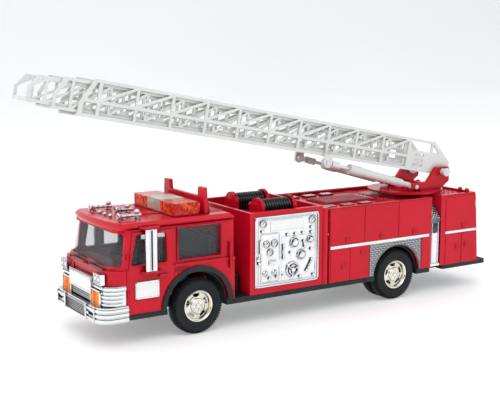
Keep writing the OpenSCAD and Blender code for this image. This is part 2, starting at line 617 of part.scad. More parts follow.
module arch_treadplates() color([0.85, 0.86, 0.88]) placed() both_sides() difference() {
    block(131.8, 177.6, -hw - 0.4, -hw - 0.02, sill_z, 41.3);
    wheel_arch_cut(rear_arch, rear_arch[2] + 0.1);
}
module slope_treadplates() color([0.85, 0.86, 0.88]) placed() both_sides() {
    along_x(recess[0] + 0.1, recess[1] - 0.1) polygon([[-22.4, 66.1], [-33.04, 53.45], [-33.05, 51],
        [-33.5, 51], [-33.5, 53.6], [-22.7, 66.4]]);
}
module stabiliser() {
    block(187.5, 195, -hw + 0.8, -hw + 8, 21, 50.7);
    block(187.3, 195.7, -hw + 0.2, -hw + 8.1, sill_z + 0.1, 21.1);
}
module left_stabiliser() color([0.87, 0.88, 0.9]) placed() stabiliser();
module right_stabiliser() color([0.87, 0.88, 0.9]) placed() mirror([0, 1, 0]) stabiliser();
module rear_beacons() color([0.85, 0.07, 0.08]) placed()
    for (y = [-29.5, -22.6, 22.6, 29.5]) translate([224.4, y, 68.42]) {
        cylinder(r = 1.7, h = 2);
        translate([0, 0, 2]) sphere(r = 1.7);
    }
module tail_lights() color([0.8, 0.05, 0.05]) placed() for (s = [-1, 1])
    x_rod(s * 26, 30, 3, 232.05, 233.3);

// ---------- turntable ----------
arm_y = [14.6, 18];
skin_y = [[16.6, 18], [10.9, 12.1]];
disc_z = [69.9, 71.3];
module arm_shape(front) difference() {
    polygon([[front, 72.6], [190, 72.4], [191, 71], [209, 71], [217.4, 76.6], [217.4, 86],
        [216.4, 87], [205.8, 87], [197.2, 77.2], [front, 77.2]]);
    translate([pivot[0], pivot[2]]) circle(2.5);
}
module turntable() color([0.8, 0.08, 0.13]) placed() {
    difference() {
        union() {
            translate([swivel_x, 0, disc_z[0]]) cylinder(r = 27, h = disc_z[1] - disc_z[0], $fn = 96);
            translate([swivel_x, 0, 63.6]) cylinder(r = 6, h = disc_z[0] - 63.5);
            both_sides() {
                slab(-arm_y[1], -arm_y[0]) intersection() {
                    arm_shape(183);
                    translate([190.5, 60]) square([40, 40]);
                }
                slab(-skin_y[0][1], -skin_y[0][0]) arm_shape(183);
                slab(-skin_y[1][1], -skin_y[1][0]) intersection() {
                    arm_shape(183);
                    translate([180, 60]) square([14, 40]);
                }
                block(190.6, 194, -arm_y[0] - 1, -skin_y[1][0], disc_z[1] - e, 77.2);
            }
            // cross wall between the arms
            block(200, 202, -arm_y[0] - 0.2, arm_y[0] + 0.2, disc_z[1] - e, 75.6);
        }
        translate([swivel_x, 0, 60]) cylinder(r = 1.3, h = 9);
        y_rod(lift_low[0], lift_low[1], 0.95, -30, 30);
    }
}
module turntable_retainer() color([0.7, 0.71, 0.72]) placed() translate([swivel_x, 0, 0]) {
    translate([0, 0, 62.1]) cylinder(r = 9, h = 1.45);
    translate([0, 0, 61]) cylinder(r = 2.6, h = 1.2);
    translate([0, 0, 62]) cylinder(r = 1.25, h = 6.8);
}
module pivot_pins() color([0.95, 0.95, 0.94]) placed() {
    y_rod(pivot[0], pivot[2], 2.45, -21.8, 21.8);
    both_sides() {
        y_rod(pivot[0], pivot[2], 3, -22.6, -21.8);
        y_rod(lift_low[0], lift_low[1], 0.93, -18.2, -10.8);
        y_rod(lift_low[0], lift_low[1], 1.6, -18.9, -18.1);
    }
}

// ---------- ladder ----------
// Children are drawn with X = -(distance along the ladder) and Z = height above its pivot line
module on_ladder() translate(pivot) rotate([0, pitch, 0]) children();
module bar2d(a, b, t) {
    d = b - a;
    translate(a) rotate(atan2(d[1], d[0])) translate([0, -t / 2]) square([norm(d), t]);
}
first_post = 31.9;
posts = 10;
module base_side() {
    top = 20.1;
    low = -2.75;
    difference() {
        union() {
            polygon([[-275.8, top], [-8.2, top], [8.5, 7.6], [8.5, low], [-base_len, low], [-283.5, 5.6]]);
            circle(4.8);
        }
        circle(2.52);
        for (k = [0 : posts - 1]) {
            u0 = first_post + bay * k + 0.9;
            u1 = first_post + bay * (k + 1) - 0.9;
            difference() {
                translate([-u1, 8.1]) square([u1 - u0, 10]);
                bar2d([-u1 - 0.9, 7.6], [-u0 + 0.9, 18.6], 1.6);
            }
            translate([-u1, -0.5]) square([u1 - u0, 6.6]);
        }
        // windows in the raked front end
        polygon([[-272.7, 8.1], [-279.2, 8.1], [-274, 18.1], [-272.7, 18.1]]);
        polygon([[-272.7, -0.5], [-281, -0.5], [-281, 5], [-280.4, 6.1], [-272.7, 6.1]]);
        // window, corner opening and three slots in the rear plate
        translate([-30.3, 12]) square([19.4, 6.1]);
        polygon([[-9.2, 17.6], [-9.2, 12.6], [-2.8, 12.6]]);
        for (w = [9, 5.4, 1.8]) translate([-26.4, w - 1.1]) round_rect(0, 9.4, 0, 2.2, 1.09);
    }
}
module ladder_base() color([0.95, 0.95, 0.93]) placed() on_ladder() {
    both_sides() {
        slab(-base_hw, -base_hw + side_t) base_side();
        // rails that hold the middle section
        block(-base_len, -30, -base_hw + side_t - e, -11.4, -2.75, -1.25);
        block(-275, -32, -base_hw + side_t - e, -12, 18.65, 20.1);
        // lug for the lift cylinder
        difference() {
            union() {
                y_rod(-lift_uw[0], lift_uw[1], 3.3, -17.2, -15.7);
                y_rod(-lift_uw[0], lift_uw[1], 1.5, -17.9, -17.1);
                block(-lift_uw[0] - 3.3, -lift_uw[0] + 3.3, -17.2, -15.7, lift_uw[1], -1);
                block(-lift_uw[0] - 3.3, -lift_uw[0] + 3.3, -17.2, -base_hw + e, -2.4, -1);
            }
            y_rod(-lift_uw[0], lift_uw[1], 0.6, -16.6, -10);
        }
    }
    for (k = [0 : posts])
        block(-first_post - bay * k - 1, -first_post - bay * k + 1, -13.5, 13.5, -2.75, -1.25);
}
// Side of an inner section: rails, uprights and full height diagonals
module inner_side(tip, tail, top, low, rake, knee) {
    n = floor((tip - tail - 12) / bay);
    start = tip - 11 - bay * n;
    difference() {
        polygon([[-tip + rake, top], [-tail, top], [-tail, low], [-tip, low], [-tip, low + 8.4]]);
        for (k = [0 : n - 1]) {
            u0 = start + bay * k + 0.8;
            u1 = start + bay * (k + 1) - 0.8;
            difference() {
                translate([-u1, low + 2]) square([u1 - u0, top - low - 4]);
                bar2d([-u1 - 0.6, low + 1.6], [-u0 + 0.6, top - 1.6], 1.5);
            }
        }
        translate([-start + 0.8, low + 2]) square([start - tail - 3, top - low - 4]);
        difference() {
            polygon([[-tip + 11 - 0.8, low + 2], [-tip + 2, low + 2], [-tip + 2, low + 7.6],
                [-tip + rake + 2.2, top - 2], [-tip + 11 - 0.8, top - 2]]);
            if (knee) bar2d([-tip, low + 8], [-tip + 12, top - 1], 1.4);
        }
    }
}
module ladder_middle() color([0.95, 0.95, 0.93]) placed() on_ladder() {
    both_sides() {
        slab(-12.75, -12.75 + side_t) inner_side(middle_tip, 33, 18.35, -0.95, 5.6, false);
        // tabs that keep the fly section down
        for (u = [33, 286]) block(-u - 6, -u, -11.6, -10.6, 16.9, 18.35);
    }
    for (u = [34 : bay : middle_tip - 3]) block(-u - 2, -u, -12, 12, -0.95, 0.45);
    block(-middle_tip, -middle_tip + 2, -12, 12, -0.95, 0.45);
}
module ladder_fly() color([0.95, 0.95, 0.93]) placed() on_ladder() {
    both_sides() slab(-11.3, -11.3 + side_t) inner_side(fly_tip, 36, 16.6, 0.75, 6.1, true);
    for (u = [37 : bay : fly_tip - 3]) block(-u - 2, -u, -10.5, 10.5, 0.75, 2.15);
    block(-fly_tip, -fly_tip + 1.6, -10.5, 10.5, 0.75, 3.4);
}

// ---------- lift cylinders ----------
// Children are drawn along +X from the lower pin up to the upper pin
module on_lift() translate([lift_low[0], 0, lift_low[1]]) mirror([1, 0, 0]) rotate([0, -lift_angle, 0])
    children();
module lift_rod() {
    x_rod(-lift_y, 0, 1.15, 28, lift_len - 1.4);
    x_rod(-lift_y + 0.2, 0, 2.3, lift_len - 12, lift_len - 4.8);
    y_rod(lift_len, 0, 2.5, -15.45, -12.6);
}
module lift_tube() difference() {
    union() {
        x_rod(-lift_y, 0, 2, 4.6, 15);
        x_rod(-lift_y, 0, 2.9, 12, 50);
        x_rod(-lift_y, 0, 3.4, 49.9, 60.5);
        y_rod(0, 0, 1.75, -16.3, -12.4);
        block(0, 5, -16.3, -12.4, -1.7, 1.7);
    }
    x_rod(-lift_y, 0, 1.22, 20, 70);
    y_rod(0, 0, 1, -20, -10);
}
module left_lift_rod() color([0.93, 0.93, 0.92]) placed() on_lift() lift_rod();
module right_lift_rod() color([0.93, 0.93, 0.92]) placed() on_lift() mirror([0, 1, 0]) lift_rod();
module left_lift_tube() color([0.95, 0.95, 0.94]) placed() on_lift() lift_tube();
module right_lift_tube() color([0.95, 0.95, 0.94]) placed() on_lift() mirror([0, 1, 0]) lift_tube();

chassis();
chassis_screws();
battery_box();
batteries();
battery_contacts();
battery_cover();
switch_slider();
front_bumper();
headlamp_panel();
headlamp_lenses();
name_plates();
lamp_pods();
cab_shell();
cab_roof();
windscreen();
side_windows();
dashboard();
steering_wheel();
seats();
wipers();
grab_handles();
mirror_brackets();
mirrors();
roof_horns();
light_bar_base();
light_bar_reflectors();
light_bar_lenses();
light_bar_centre();
ladder_rest();
wheel_flares();
pump_body();
left_pump_panel();
right_pump_panel();
reel_brackets();
left_hose_reel();
right_hose_reel();
rear_body();
side_stripes();
arch_treadplates();
slope_treadplates();
left_stabiliser();
right_stabiliser();
rear_beacons();
tail_lights();
turntable();
turntable_retainer();
pivot_pins();
ladder_base();
ladder_middle();
ladder_fly();
left_lift_tube();
right_lift_tube();
left_lift_rod();
right_lift_rod();
front_axle();
front_rims();
front_tyres();
rear_axle();
rear_rims();
rear_tyres();
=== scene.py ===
import bpy, bmesh, json, math
from mathutils import Vector, Matrix


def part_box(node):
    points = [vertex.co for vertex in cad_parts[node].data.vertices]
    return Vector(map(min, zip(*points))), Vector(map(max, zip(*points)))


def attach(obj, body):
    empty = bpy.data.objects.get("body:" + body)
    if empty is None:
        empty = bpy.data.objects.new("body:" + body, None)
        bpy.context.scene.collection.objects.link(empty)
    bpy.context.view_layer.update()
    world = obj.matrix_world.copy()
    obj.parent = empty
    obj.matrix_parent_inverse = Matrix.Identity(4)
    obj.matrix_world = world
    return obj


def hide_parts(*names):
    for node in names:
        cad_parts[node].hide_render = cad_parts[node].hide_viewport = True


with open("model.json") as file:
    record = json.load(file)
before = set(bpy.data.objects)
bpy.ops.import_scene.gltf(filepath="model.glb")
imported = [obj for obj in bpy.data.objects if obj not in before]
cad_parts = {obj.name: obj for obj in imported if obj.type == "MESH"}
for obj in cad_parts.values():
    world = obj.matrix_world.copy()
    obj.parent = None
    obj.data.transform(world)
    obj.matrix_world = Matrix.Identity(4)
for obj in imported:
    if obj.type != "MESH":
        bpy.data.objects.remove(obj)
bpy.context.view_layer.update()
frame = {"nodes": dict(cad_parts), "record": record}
N = frame["nodes"]
scene = bpy.context.scene
# Millimetres with X = 0 at the front axle, as in the part, to the row frame in metres
_a, _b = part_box("front_tyres")
FX = (_a.x + _b.x) / 2


def V(x, y, z):
    return Vector((FX + x / 1000, y / 1000, z / 1000))


def mm(v):
    return v / 1000


def sides():
    return (("left", -1), ("right", 1))


def span(s, a, b):
    """The two distances a and b on side s, low one first, as add_box takes them."""
    return sorted((s * a, s * b))


# Measures shared with the part, in mm
HW = 33.9                       # half the width over the body sides
AXLE_Z = 17.5
REAR_X = 155.9                  # rear axle
OUTER_Y, INNER_Y = 28.8, 20.0   # middles of the outer and inner tyres
REEL_Y, REEL_Z = 16, 70.3       # hose reel axis
REEL_ENDS = (53.6, 78.2)
LAMP_Y = 21                     # middle of an amber lamp
POD_Y, POD_Z = 24.6, 40.9       # middle of a lamp pod
HORN_Z, ROOF_Z = 75.0, 72.82

# ------------------------------------------------------------------ camera
cam_data = bpy.data.cameras.new("camera")
cam = bpy.data.objects.new("camera", cam_data)
scene.collection.objects.link(cam)
# F looks forward, U is roughly up; R and U are then made square to F
U, F = Vector((0.084, 0.136, 0.987)), Vector((0.532, 0.832, -0.160))
F.normalize()
R = F.cross(U).normalized()
U = R.cross(F).normalized()
cam.matrix_world = Matrix(((R.x, U.x, -F.x, 0), (R.y, U.y, -F.y, 0), (R.z, U.z, -F.z, 0),
                           (0, 0, 0, 1)))
cam.location = V(-292.65, -548.07, 178.78)
cam_data.lens = 72.3
cam_data.sensor_width = 36
cam_data.clip_start = 0.01
scene.camera = cam

# ------------------------------------------------------------------ node materials
MATS = {}


class Tree:
    """A small helper round a material's node tree."""

    def __init__(self, name):
        self.m = bpy.data.materials.new(name)
        self.m.use_nodes = True
        self.t = self.m.node_tree
        self.t.nodes.clear()
        self.out = self.n("ShaderNodeOutputMaterial")
        self.p = self.n("ShaderNodeBsdfPrincipled")
        self.link(self.p.outputs[0], self.out.inputs["Surface"])
        self.co = self.n("ShaderNodeTexCoord").outputs["Object"]

    def n(self, kind, **k):
        node = self.t.nodes.new(kind)
        for a, v in k.items():
            setattr(node, a, v)
        return node

    def link(self, a, b):
        self.t.links.new(a, b)

    def set(self, **k):
        for a, v in k.items():
            self.p.inputs[a.replace("_", " ")].default_value = v

    def noise(self, scale, detail=2.0, rough=0.5, stretch=None, dist=0.0):
        n = self.n("ShaderNodeTexNoise")
        n.inputs["Scale"].default_value = scale
        n.inputs["Detail"].default_value = detail
        n.inputs["Roughness"].default_value = rough
        n.inputs["Distortion"].default_value = dist
        if stretch:
            mp = self.n("ShaderNodeMapping")
            mp.inputs["Scale"].default_value = stretch
            self.link(self.co, mp.inputs["Vector"])
            self.link(mp.outputs[0], n.inputs["Vector"])
        else:
            self.link(self.co, n.inputs["Vector"])
        return n.outputs["Fac"]

    def ramp(self, src, a, b, lo=0.3, hi=0.7):
        r = self.n("ShaderNodeMapRange")
        r.inputs["From Min"].default_value = lo
        r.inputs["From Max"].default_value = hi
        r.inputs["To Min"].default_value = a
        r.inputs["To Max"].default_value = b
        self.link(src, r.inputs["Value"])
        return r.outputs[0]

    def mix(self, fac, c1, c2):
        m = self.n("ShaderNodeMix", data_type="RGBA")
        if isinstance(fac, float):
            m.inputs[0].default_value = fac
        else:
            self.link(fac, m.inputs[0])
        for i, c in ((6, c1), (7, c2)):
            if isinstance(c, tuple):
                m.inputs[i].default_value = (*c[:3], 1)
            else:
                self.link(c, m.inputs[i])
        return m.outputs[2]

    def bump(self, src, strength=0.1, dist=0.0003, normal=None):
        b = self.n("ShaderNodeBump")
        b.inputs["Strength"].default_value = strength
        b.inputs["Distance"].default_value = dist
        self.link(src, b.inputs["Height"])
        if normal is not None:
            self.link(normal, b.inputs["Normal"])
        return b.outputs[0]

    def math(self, op, a, b=0.0):
        m = self.n("ShaderNodeMath", operation=op)
        for i, v in ((0, a), (1, b)):
            if isinstance(v, (int, float)):
                m.inputs[i].default_value = v
            else:
                self.link(v, m.inputs[i])
        return m.outputs[0]


def shade(name, c1, c2, rough=(0.2, 0.3), metal=0.0, coat=0.0, coarse=60.0, fine=1800.0, bump=0.05,
          dist=0.00015, edge_highlight=None, edge_r=0.0005, spec=0.5, ao=0.0, trans=0.0, ior=1.46, alpha=1.0,
          sss=0.0, ao_d=0.004, ao_c=None):
    """Moulded or plated surface: colour drift, uneven gloss, fine texture, painted shade and
    painted edge highlights.
    """
    t = Tree(name)
    col = t.mix(t.ramp(t.noise(coarse, 3.0), 0.0, 1.0), c1, c2)
    # painted shade: the colour darkens towards ao_c, or a tenth of c1, in crevices and recesses
    # that ambient occlusion finds
    if ao > 0:
        a = t.n("ShaderNodeAmbientOcclusion", samples=4)
        a.inputs["Distance"].default_value = ao_d
        painted_shade = t.ramp(a.outputs["AO"], ao, 0.0, 0.25, 0.95)
        col = t.mix(painted_shade, col, ao_c or tuple(x * 0.10 for x in c1))
    # painted highlight: the colour turns, unevenly, towards a lighter edge colour where the
    # bevelled normal leaves the face normal
    if edge_highlight:
        bev = t.n("ShaderNodeBevel", samples=4)
        bev.inputs["Radius"].default_value = edge_r
        geo = t.n("ShaderNodeNewGeometry")
        dot = t.n("ShaderNodeVectorMath", operation="DOT_PRODUCT")
        t.link(bev.outputs[0], dot.inputs[0])
        t.link(geo.outputs["Normal"], dot.inputs[1])
        w = t.ramp(dot.outputs["Value"], 0.85, 0.0, 0.80, 0.985)
        w = t.math("MULTIPLY", w, t.ramp(t.noise(260.0, 3.0), 0.35, 1.0, 0.4, 0.6))
        col = t.mix(w, col, edge_highlight)
    t.link(col, t.p.inputs["Base Color"])
    t.link(t.ramp(t.noise(coarse * 2.3, 4.0, 0.6), rough[0], rough[1]), t.p.inputs["Roughness"])
    nrm = t.bump(t.noise(fine, 2.0), bump, dist)
    nrm = t.bump(t.noise(coarse * 1.4, 1.0), bump * 0.7, dist * 4, nrm)
    t.link(nrm, t.p.inputs["Normal"])
    t.set(Metallic=metal, IOR=ior)
    t.p.inputs["Specular IOR Level"].default_value = spec
    t.p.inputs["Coat Weight"].default_value = coat
    t.p.inputs["Coat Roughness"].default_value = 0.05
    if trans:
        t.p.inputs["Transmission Weight"].default_value = trans
    if alpha < 1:
        t.p.inputs["Alpha"].default_value = alpha
    if sss:
        t.p.inputs["Subsurface Weight"].default_value = sss
        t.p.inputs["Subsurface Radius"].default_value = (0.002, 0.002, 0.002)
        t.p.inputs["Subsurface Scale"].default_value = 1.0
    MATS[name] = t.m
    return t


def facets(name, dark, light, scale, glow):
    """Bright coloured lens over a reflector: small cells with painted highlights of uneven
    strength, and a painted glow.
    """
    t = shade(name, dark, light, rough=(0.04, 0.09), coat=0.15, coarse=300, spec=0.3)
    cells = t.n("ShaderNodeTexVoronoi", feature="F1")
    cells.inputs["Scale"].default_value = scale
    t.link(t.co, cells.inputs["Vector"])
    sep = t.n("ShaderNodeSeparateColor")
    t.link(cells.outputs["Color"], sep.inputs[0])
    # painted highlight and painted glow: lit cells turn towards the light colour and a brighter
    # emission
    lit = t.ramp(sep.outputs[0], 0.0, 1.0, 0.35, 0.95)
    painted_sparkle = t.math("MULTIPLY", lit, t.ramp(t.noise(90.0, 2.0), 0.25, 1.0, 0.35, 0.6))
    t.link(t.mix(painted_sparkle, dark, light), t.p.inputs["Base Color"])
    t.link(t.mix(painted_sparkle, (0.55, 0.012, 0.003), (1.0, 0.34, 0.08)), t.p.inputs["Emission Color"])
    t.p.inputs["Emission Strength"].default_value = glow
    t.link(t.bump(cells.outputs["Distance"], 0.6, 0.0006), t.p.inputs["Normal"])


# in these materials ao paints shade into crevices, and an edge colour paints a highlight along the
# edges
shade("red", (0.55, 0.003, 0.018), (0.62, 0.005, 0.024), rough=(0.13, 0.22), coat=0.06, coarse=35,
      edge_highlight=(0.78, 0.03, 0.045), ao=0.75, bump=0.03, spec=0.22)
shade("dark_red", (0.16, 0.004, 0.008), (0.22, 0.007, 0.012), rough=(0.35, 0.45), spec=0.3)
shade("white", (0.66, 0.685, 0.68), (0.73, 0.745, 0.735), rough=(0.22, 0.30), coat=0.1, coarse=45,
      ao=0.75,
      ao_c=(0.50, 0.48, 0.38), edge_highlight=(0.80, 0.82, 0.81), bump=0.03)
shade("chrome", (0.72, 0.73, 0.75), (0.82, 0.83, 0.84), rough=(0.04, 0.10), metal=1.0, coarse=90,
      ao=0.95, bump=0.03,
      ao_d=0.0022)
shade("champagne", (0.84, 0.81, 0.70), (0.92, 0.90, 0.81), rough=(0.10, 0.18), metal=1.0,
      coarse=120, ao=0.9, ao_d=0.003)
shade("steel", (0.55, 0.56, 0.57), (0.65, 0.66, 0.67), rough=(0.25, 0.4), metal=1.0, coarse=200)
shade("tread", (0.12, 0.13, 0.14), (0.20, 0.21, 0.22), rough=(0.15, 0.3), metal=1.0, coarse=160,
      ao=0.8, ao_d=0.001)
shade("slate", (0.009, 0.014, 0.016), (0.016, 0.022, 0.024), rough=(0.42, 0.55), bump=0.12,
      edge_highlight=(0.07, 0.08, 0.09),
      spec=0.35)
shade("black", (0.008, 0.008, 0.009), (0.014, 0.014, 0.016), rough=(0.35, 0.5), bump=0.1,
      edge_highlight=(0.05, 0.05, 0.05), spec=0.35)
shade("tyre", (0.006, 0.009, 0.010), (0.012, 0.015, 0.016), rough=(0.40, 0.55), bump=0.2, fine=1300,
      edge_highlight=(0.05, 0.055, 0.06), spec=0.25, ao=0.7)
shade("amber", (0.95, 0.22, 0.002), (1.0, 0.38, 0.006), rough=(0.06, 0.12), spec=0.25, coat=0.08,
      coarse=300, sss=0.1)
facets("red_lens", (0.36, 0.003, 0.001), (0.9, 0.06, 0.006), 520.0, glow=0.2)
shade("clear_lens", (0.55, 0.46, 0.36), (0.66, 0.58, 0.47), rough=(0.05, 0.12), alpha=0.62,
      coarse=120, coat=0.5)
shade("glazing", (0.12, 0.14, 0.16), (0.17, 0.19, 0.21), rough=(0.02, 0.05), alpha=0.17, coarse=60,
      coat=0.6, bump=0.008)
shade("plate", (0.84, 0.86, 0.85), (0.89, 0.90, 0.89), rough=(0.28, 0.36), coarse=150, bump=0.02)
shade("grey", (0.10, 0.09, 0.08), (0.16, 0.14, 0.13), rough=(0.3, 0.5), coarse=150)
shade("cell", (0.015, 0.015, 0.02), (0.55, 0.32, 0.08), rough=(0.25, 0.4), metal=0.6, coarse=25)
shade("orange", (0.80, 0.045, 0.003), (0.90, 0.08, 0.005), rough=(0.08, 0.14), coat=0.08,
      coarse=200, spec=0.25)
shade("lamp_glass", (0.75, 0.78, 0.80), (0.85, 0.87, 0.88), rough=(0.05, 0.1), metal=0.3, coat=1.0,
      coarse=300, ao=0.6)
shade("smoke", (0.02, 0.025, 0.035), (0.07, 0.085, 0.11), rough=(0.08, 0.15), metal=0.5, coarse=180)
shade("hose", (0.006, 0.006, 0.007), (0.012, 0.012, 0.013), rough=(0.14, 0.22), bump=0.05,
      coarse=90, coat=0.5, ao=0.8)
shade("plate_warm", (0.62, 0.61, 0.50), (0.72, 0.71, 0.60), rough=(0.2, 0.3), coarse=80)
# painted glow: a material that gives off orange light of its own, for the light bar's bulbs
glow = shade("glow", (1.0, 0.25, 0.05), (1.0, 0.45, 0.12), rough=(0.1, 0.2), coarse=300)
glow.p.inputs["Emission Color"].default_value = (1.0, 0.30, 0.08, 1)
glow.p.inputs["Emission Strength"].default_value = 1.2

SLOT = {"slate_plastic": "slate", "red_plastic": "red", "dark_red": "dark_red",
        "white_plastic": "white",
        "chrome": "chrome", "champagne": "champagne", "tyre": "tyre", "steel": "steel",
        "amber": "amber",
        "red_lens": "red_lens", "clear_lens": "clear_lens", "glazing": "glazing",
        "plate_white": "plate",
        "grey_trim": "grey", "black_plastic": "black", "cell": "cell"}
SLOT_OF = {s["node"]: s["material_slot"] for s in frame["record"]["subparts"]}
BODY_OF = {n: b for b, ns in frame["record"]["behaviour"]["bodies"].items() for n in ns}
SLOT_FOR = {v: k for k, v in SLOT.items()}
SLOT_FOR.update(tread="chrome", orange="amber", lamp_glass="clear_lens", smoke="chrome",
                hose="black_plastic", plate_warm="plate_white",
                glow="amber")
for name, o in N.items():
    m = MATS[SLOT[SLOT_OF[name]]]
    if not o.data.materials:
        o.data.materials.append(m)
    for i in range(len(o.data.materials)):
        o.data.materials[i] = m


# ------------------------------------------------------------------ piece helpers
def piece(name, bm, mat, body, bevel=0.0, segs=2, smooth=True, angle=35, nodes=(), weighted=False):
    """Turns a bmesh in metres, in the row frame, into a piece that rides on a body."""
    me = bpy.data.meshes.new(name)
    bmesh.ops.remove_doubles(bm, verts=bm.verts, dist=1e-7)
    bmesh.ops.recalc_face_normals(bm, faces=bm.faces)
    bm.to_mesh(me)
    bm.free()
    o = bpy.data.objects.new(name, me)
    scene.collection.objects.link(o)
    me.materials.append(MATS[mat])
    if bevel:
        b = o.modifiers.new("bevel", "BEVEL")
        b.width = mm(bevel)
        b.segments = segs
        b.limit_method = "ANGLE"
        b.angle_limit = math.radians(angle)
        b.use_clamp_overlap = True
        b.harden_normals = False
    if weighted:
        wn = o.modifiers.new("wn", "WEIGHTED_NORMAL")
        wn.keep_sharp = True
        wn.weight = 90
    if smooth:
        for p in me.polygons:
            p.use_smooth = True
        if hasattr(me, "set_sharp_from_angle"):
            me.set_sharp_from_angle(angle=math.radians(angle))
    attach(o, body)
    if nodes:
        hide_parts(*nodes)


def soften(node, width, mat=None):
    """A copy of a CAD node with its edges rounded, which stands for it."""
    src = N[node]
    bm = bmesh.new()
    bm.from_mesh(src.data)
    bmesh.ops.remove_doubles(bm, verts=bm.verts, dist=2e-6)
    bmesh.ops.dissolve_limit(bm, angle_limit=math.radians(0.8), verts=bm.verts, edges=bm.edges)
    piece(node + "_form", bm, mat or SLOT[SLOT_OF[node]], BODY_OF[node], bevel=width, angle=30,
          nodes=(node,), weighted=True)


def add_box(bm, x0, x1, y0, y1, z0, z1, rot=None):
    """Box between the given limits in mm, turned by rot about its own middle."""
    r = bmesh.ops.create_cube(bm, size=1)
    c = V((x0 + x1) / 2, (y0 + y1) / 2, (z0 + z1) / 2)
    s = Matrix.Diagonal((mm(x1 - x0), mm(y1 - y0), mm(z1 - z0), 1))
    bmesh.ops.transform(bm, matrix=Matrix.Translation(c) @ (rot or Matrix.Identity(4)) @ s,
                        verts=r["verts"])


def add_rod(bm, a, b, r, segs=24):
    """Cylinder from point a to point b, both in metres; its radius in mm."""
    d = b - a
    q = d.to_track_quat("Z", "Y").to_matrix().to_4x4()
    res = bmesh.ops.create_cone(bm, cap_ends=True, segments=segs, radius1=mm(r), radius2=mm(r),
                                depth=d.length)
    bmesh.ops.transform(bm, matrix=Matrix.Translation((a + b) / 2) @ q, verts=res["verts"])


def add_ball(bm, c, r, u=24, v=16, scale=(1, 1, 1)):
    """Ball of r mm about c in metres, with u segments and v rings."""
    res = bmesh.ops.create_uvsphere(bm, u_segments=u, v_segments=v, radius=mm(r))
    bmesh.ops.transform(bm, matrix=Matrix.Translation(c) @ Matrix.Diagonal((*scale, 1)),
                        verts=res["verts"])


def add_turned(bm, profile, origin, axis, segs=64):
    """Turned form: profile is [(radius, along)] in mm, on an axis from origin in metres."""
    axis = Vector(axis).normalized()
    ref = Vector((0, 0, 1)) if abs(axis.z) < 0.9 else Vector((1, 0, 0))
    e1 = (ref - axis * ref.dot(axis)).normalized()
    e2 = axis.cross(e1)
    rings = []
    for r, h in profile:
        c = origin + axis * mm(h)
        if r < 1e-6:
            rings.append([bm.verts.new(c)])
        else:
            turns = (2 * math.pi * i / segs for i in range(segs))
            rings.append([bm.verts.new(c + (e1 * math.cos(t) + e2 * math.sin(t)) * mm(r))
                          for t in turns])
    for p, q in zip(rings, rings[1:]):
        for i in range(segs):
            j = (i + 1) % segs
            if len(p) == 1 and len(q) == 1:
                continue
            if len(p) == 1:
                bm.faces.new((p[0], q[j], q[i]))
            elif len(q) == 1:
                bm.faces.new((p[i], p[j], q[0]))
            else:
                bm.faces.new((p[i], p[j], q[j], q[i]))


# ------------------------------------------------------------------ rounded CAD shells
for node, w in (("cab_shell", 0.35), ("cab_roof", 0.25), ("pump_body", 0.35), ("rear_body", 0.3),
                ("turntable", 0.35), ("ladder_rest", 0.35), ("mirror_brackets", 0.3),
                ("reel_brackets", 0.3), ("light_bar_base", 0.25), ("grab_handles", 0.15),
                ("front_bumper", 0.25), ("headlamp_panel", 0.25), ("lamp_pods", 0.3),
                ("chassis", 0.3), ("wheel_flares", 0.3), ("ladder_base", 0.22),
                ("ladder_middle", 0.22), ("ladder_fly", 0.22), ("left_stabiliser", 0.5),
                ("right_stabiliser", 0.5), ("left_lift_tube", 0.2), ("right_lift_tube", 0.2),
                ("left_lift_rod", 0.2), ("right_lift_rod", 0.2), ("pivot_pins", 0.4)):
    soften(node, w)
for node in ("arch_treadplates", "slope_treadplates"):
    soften(node, 0.12, mat="tread")
soften("rear_beacons", 0.05, mat="red")


def carve(bm, cut):
    """bm with cut taken out of it, through a Boolean modifier that is applied at once."""
    objs = []
    for i, b in enumerate((bm, cut)):
        bmesh.ops.recalc_face_normals(b, faces=b.faces)
        me = bpy.data.meshes.new("tmp")
        b.to_mesh(me)
        b.free()
        o = bpy.data.objects.new("tmp%d" % i, me)
        scene.collection.objects.link(o)
        objs.append(o)
    m = objs[0].modifiers.new("cut", "BOOLEAN")
    m.operation = "DIFFERENCE"
    m.solver = "EXACT"
    m.object = objs[1]
    bpy.context.view_layer.update()
    ev = objs[0].evaluated_get(bpy.context.evaluated_depsgraph_get())
    me = bpy.data.meshes.new_from_object(ev)
    out = bmesh.new()
    out.from_mesh(me)
    for o in objs:
        d = o.data
        bpy.data.objects.remove(o)
        bpy.data.meshes.remove(d)
    bpy.data.meshes.remove(me)
    return out


# ------------------------------------------------------------------ wheels
def tyre(name, x, yc, body, nodes=()):
    """Grooved tyre with ribbed shoulders; profile rows are (radius, across, rib depth)."""
    prof = [(9.92, -3.4, 0), (10.3, -3.85, 0), (11.2, -4.05, 0), (11.6, -4.2, 0), (12.0, -4.08, 0),
            (13.2, -4.12, 0),
            (14.3, -4.05, 0), (14.7, -4.12, 0), (15.0, -3.95, 0), (15.4, -3.92, 0),
            (15.6, -3.9, 0.7), (16.1, -3.78, 0.9), (16.8, -3.45, 0.9),
            (17.25, -3.0, 0.85), (17.5, -2.5, 0.8), (17.5, -1.75, 0.8), (17.0, -1.7, 0),
            (17.0, -1.4, 0),
            (17.5, -1.35, 0), (17.5, -0.2, 0), (17.05, -0.15, 0)]
    full = prof + [(r, -y, d) for r, y, d in reversed(prof)]
    segs = 204
    bm = bmesh.new()
    rings = []
    for r, y, d in full:
        ring = []
        for i in range(segs):
            a = 2 * math.pi * i / segs
            cut = d if i % 3 == 0 else 0
            rr = r - cut
            yy = y * (1 - 0.24 * cut)
            ring.append(bm.verts.new(V(x + rr * math.cos(a), yc + yy, AXLE_Z + rr * math.sin(a))))
        rings.append(ring)
    for p, q in zip(rings, rings[1:] + rings[:1]):
        for i in range(segs):
            j = (i + 1) % segs
            bm.faces.new((p[i], p[j], q[j], q[i]))
    piece(name, bm, "tyre", body, angle=40, nodes=nodes)


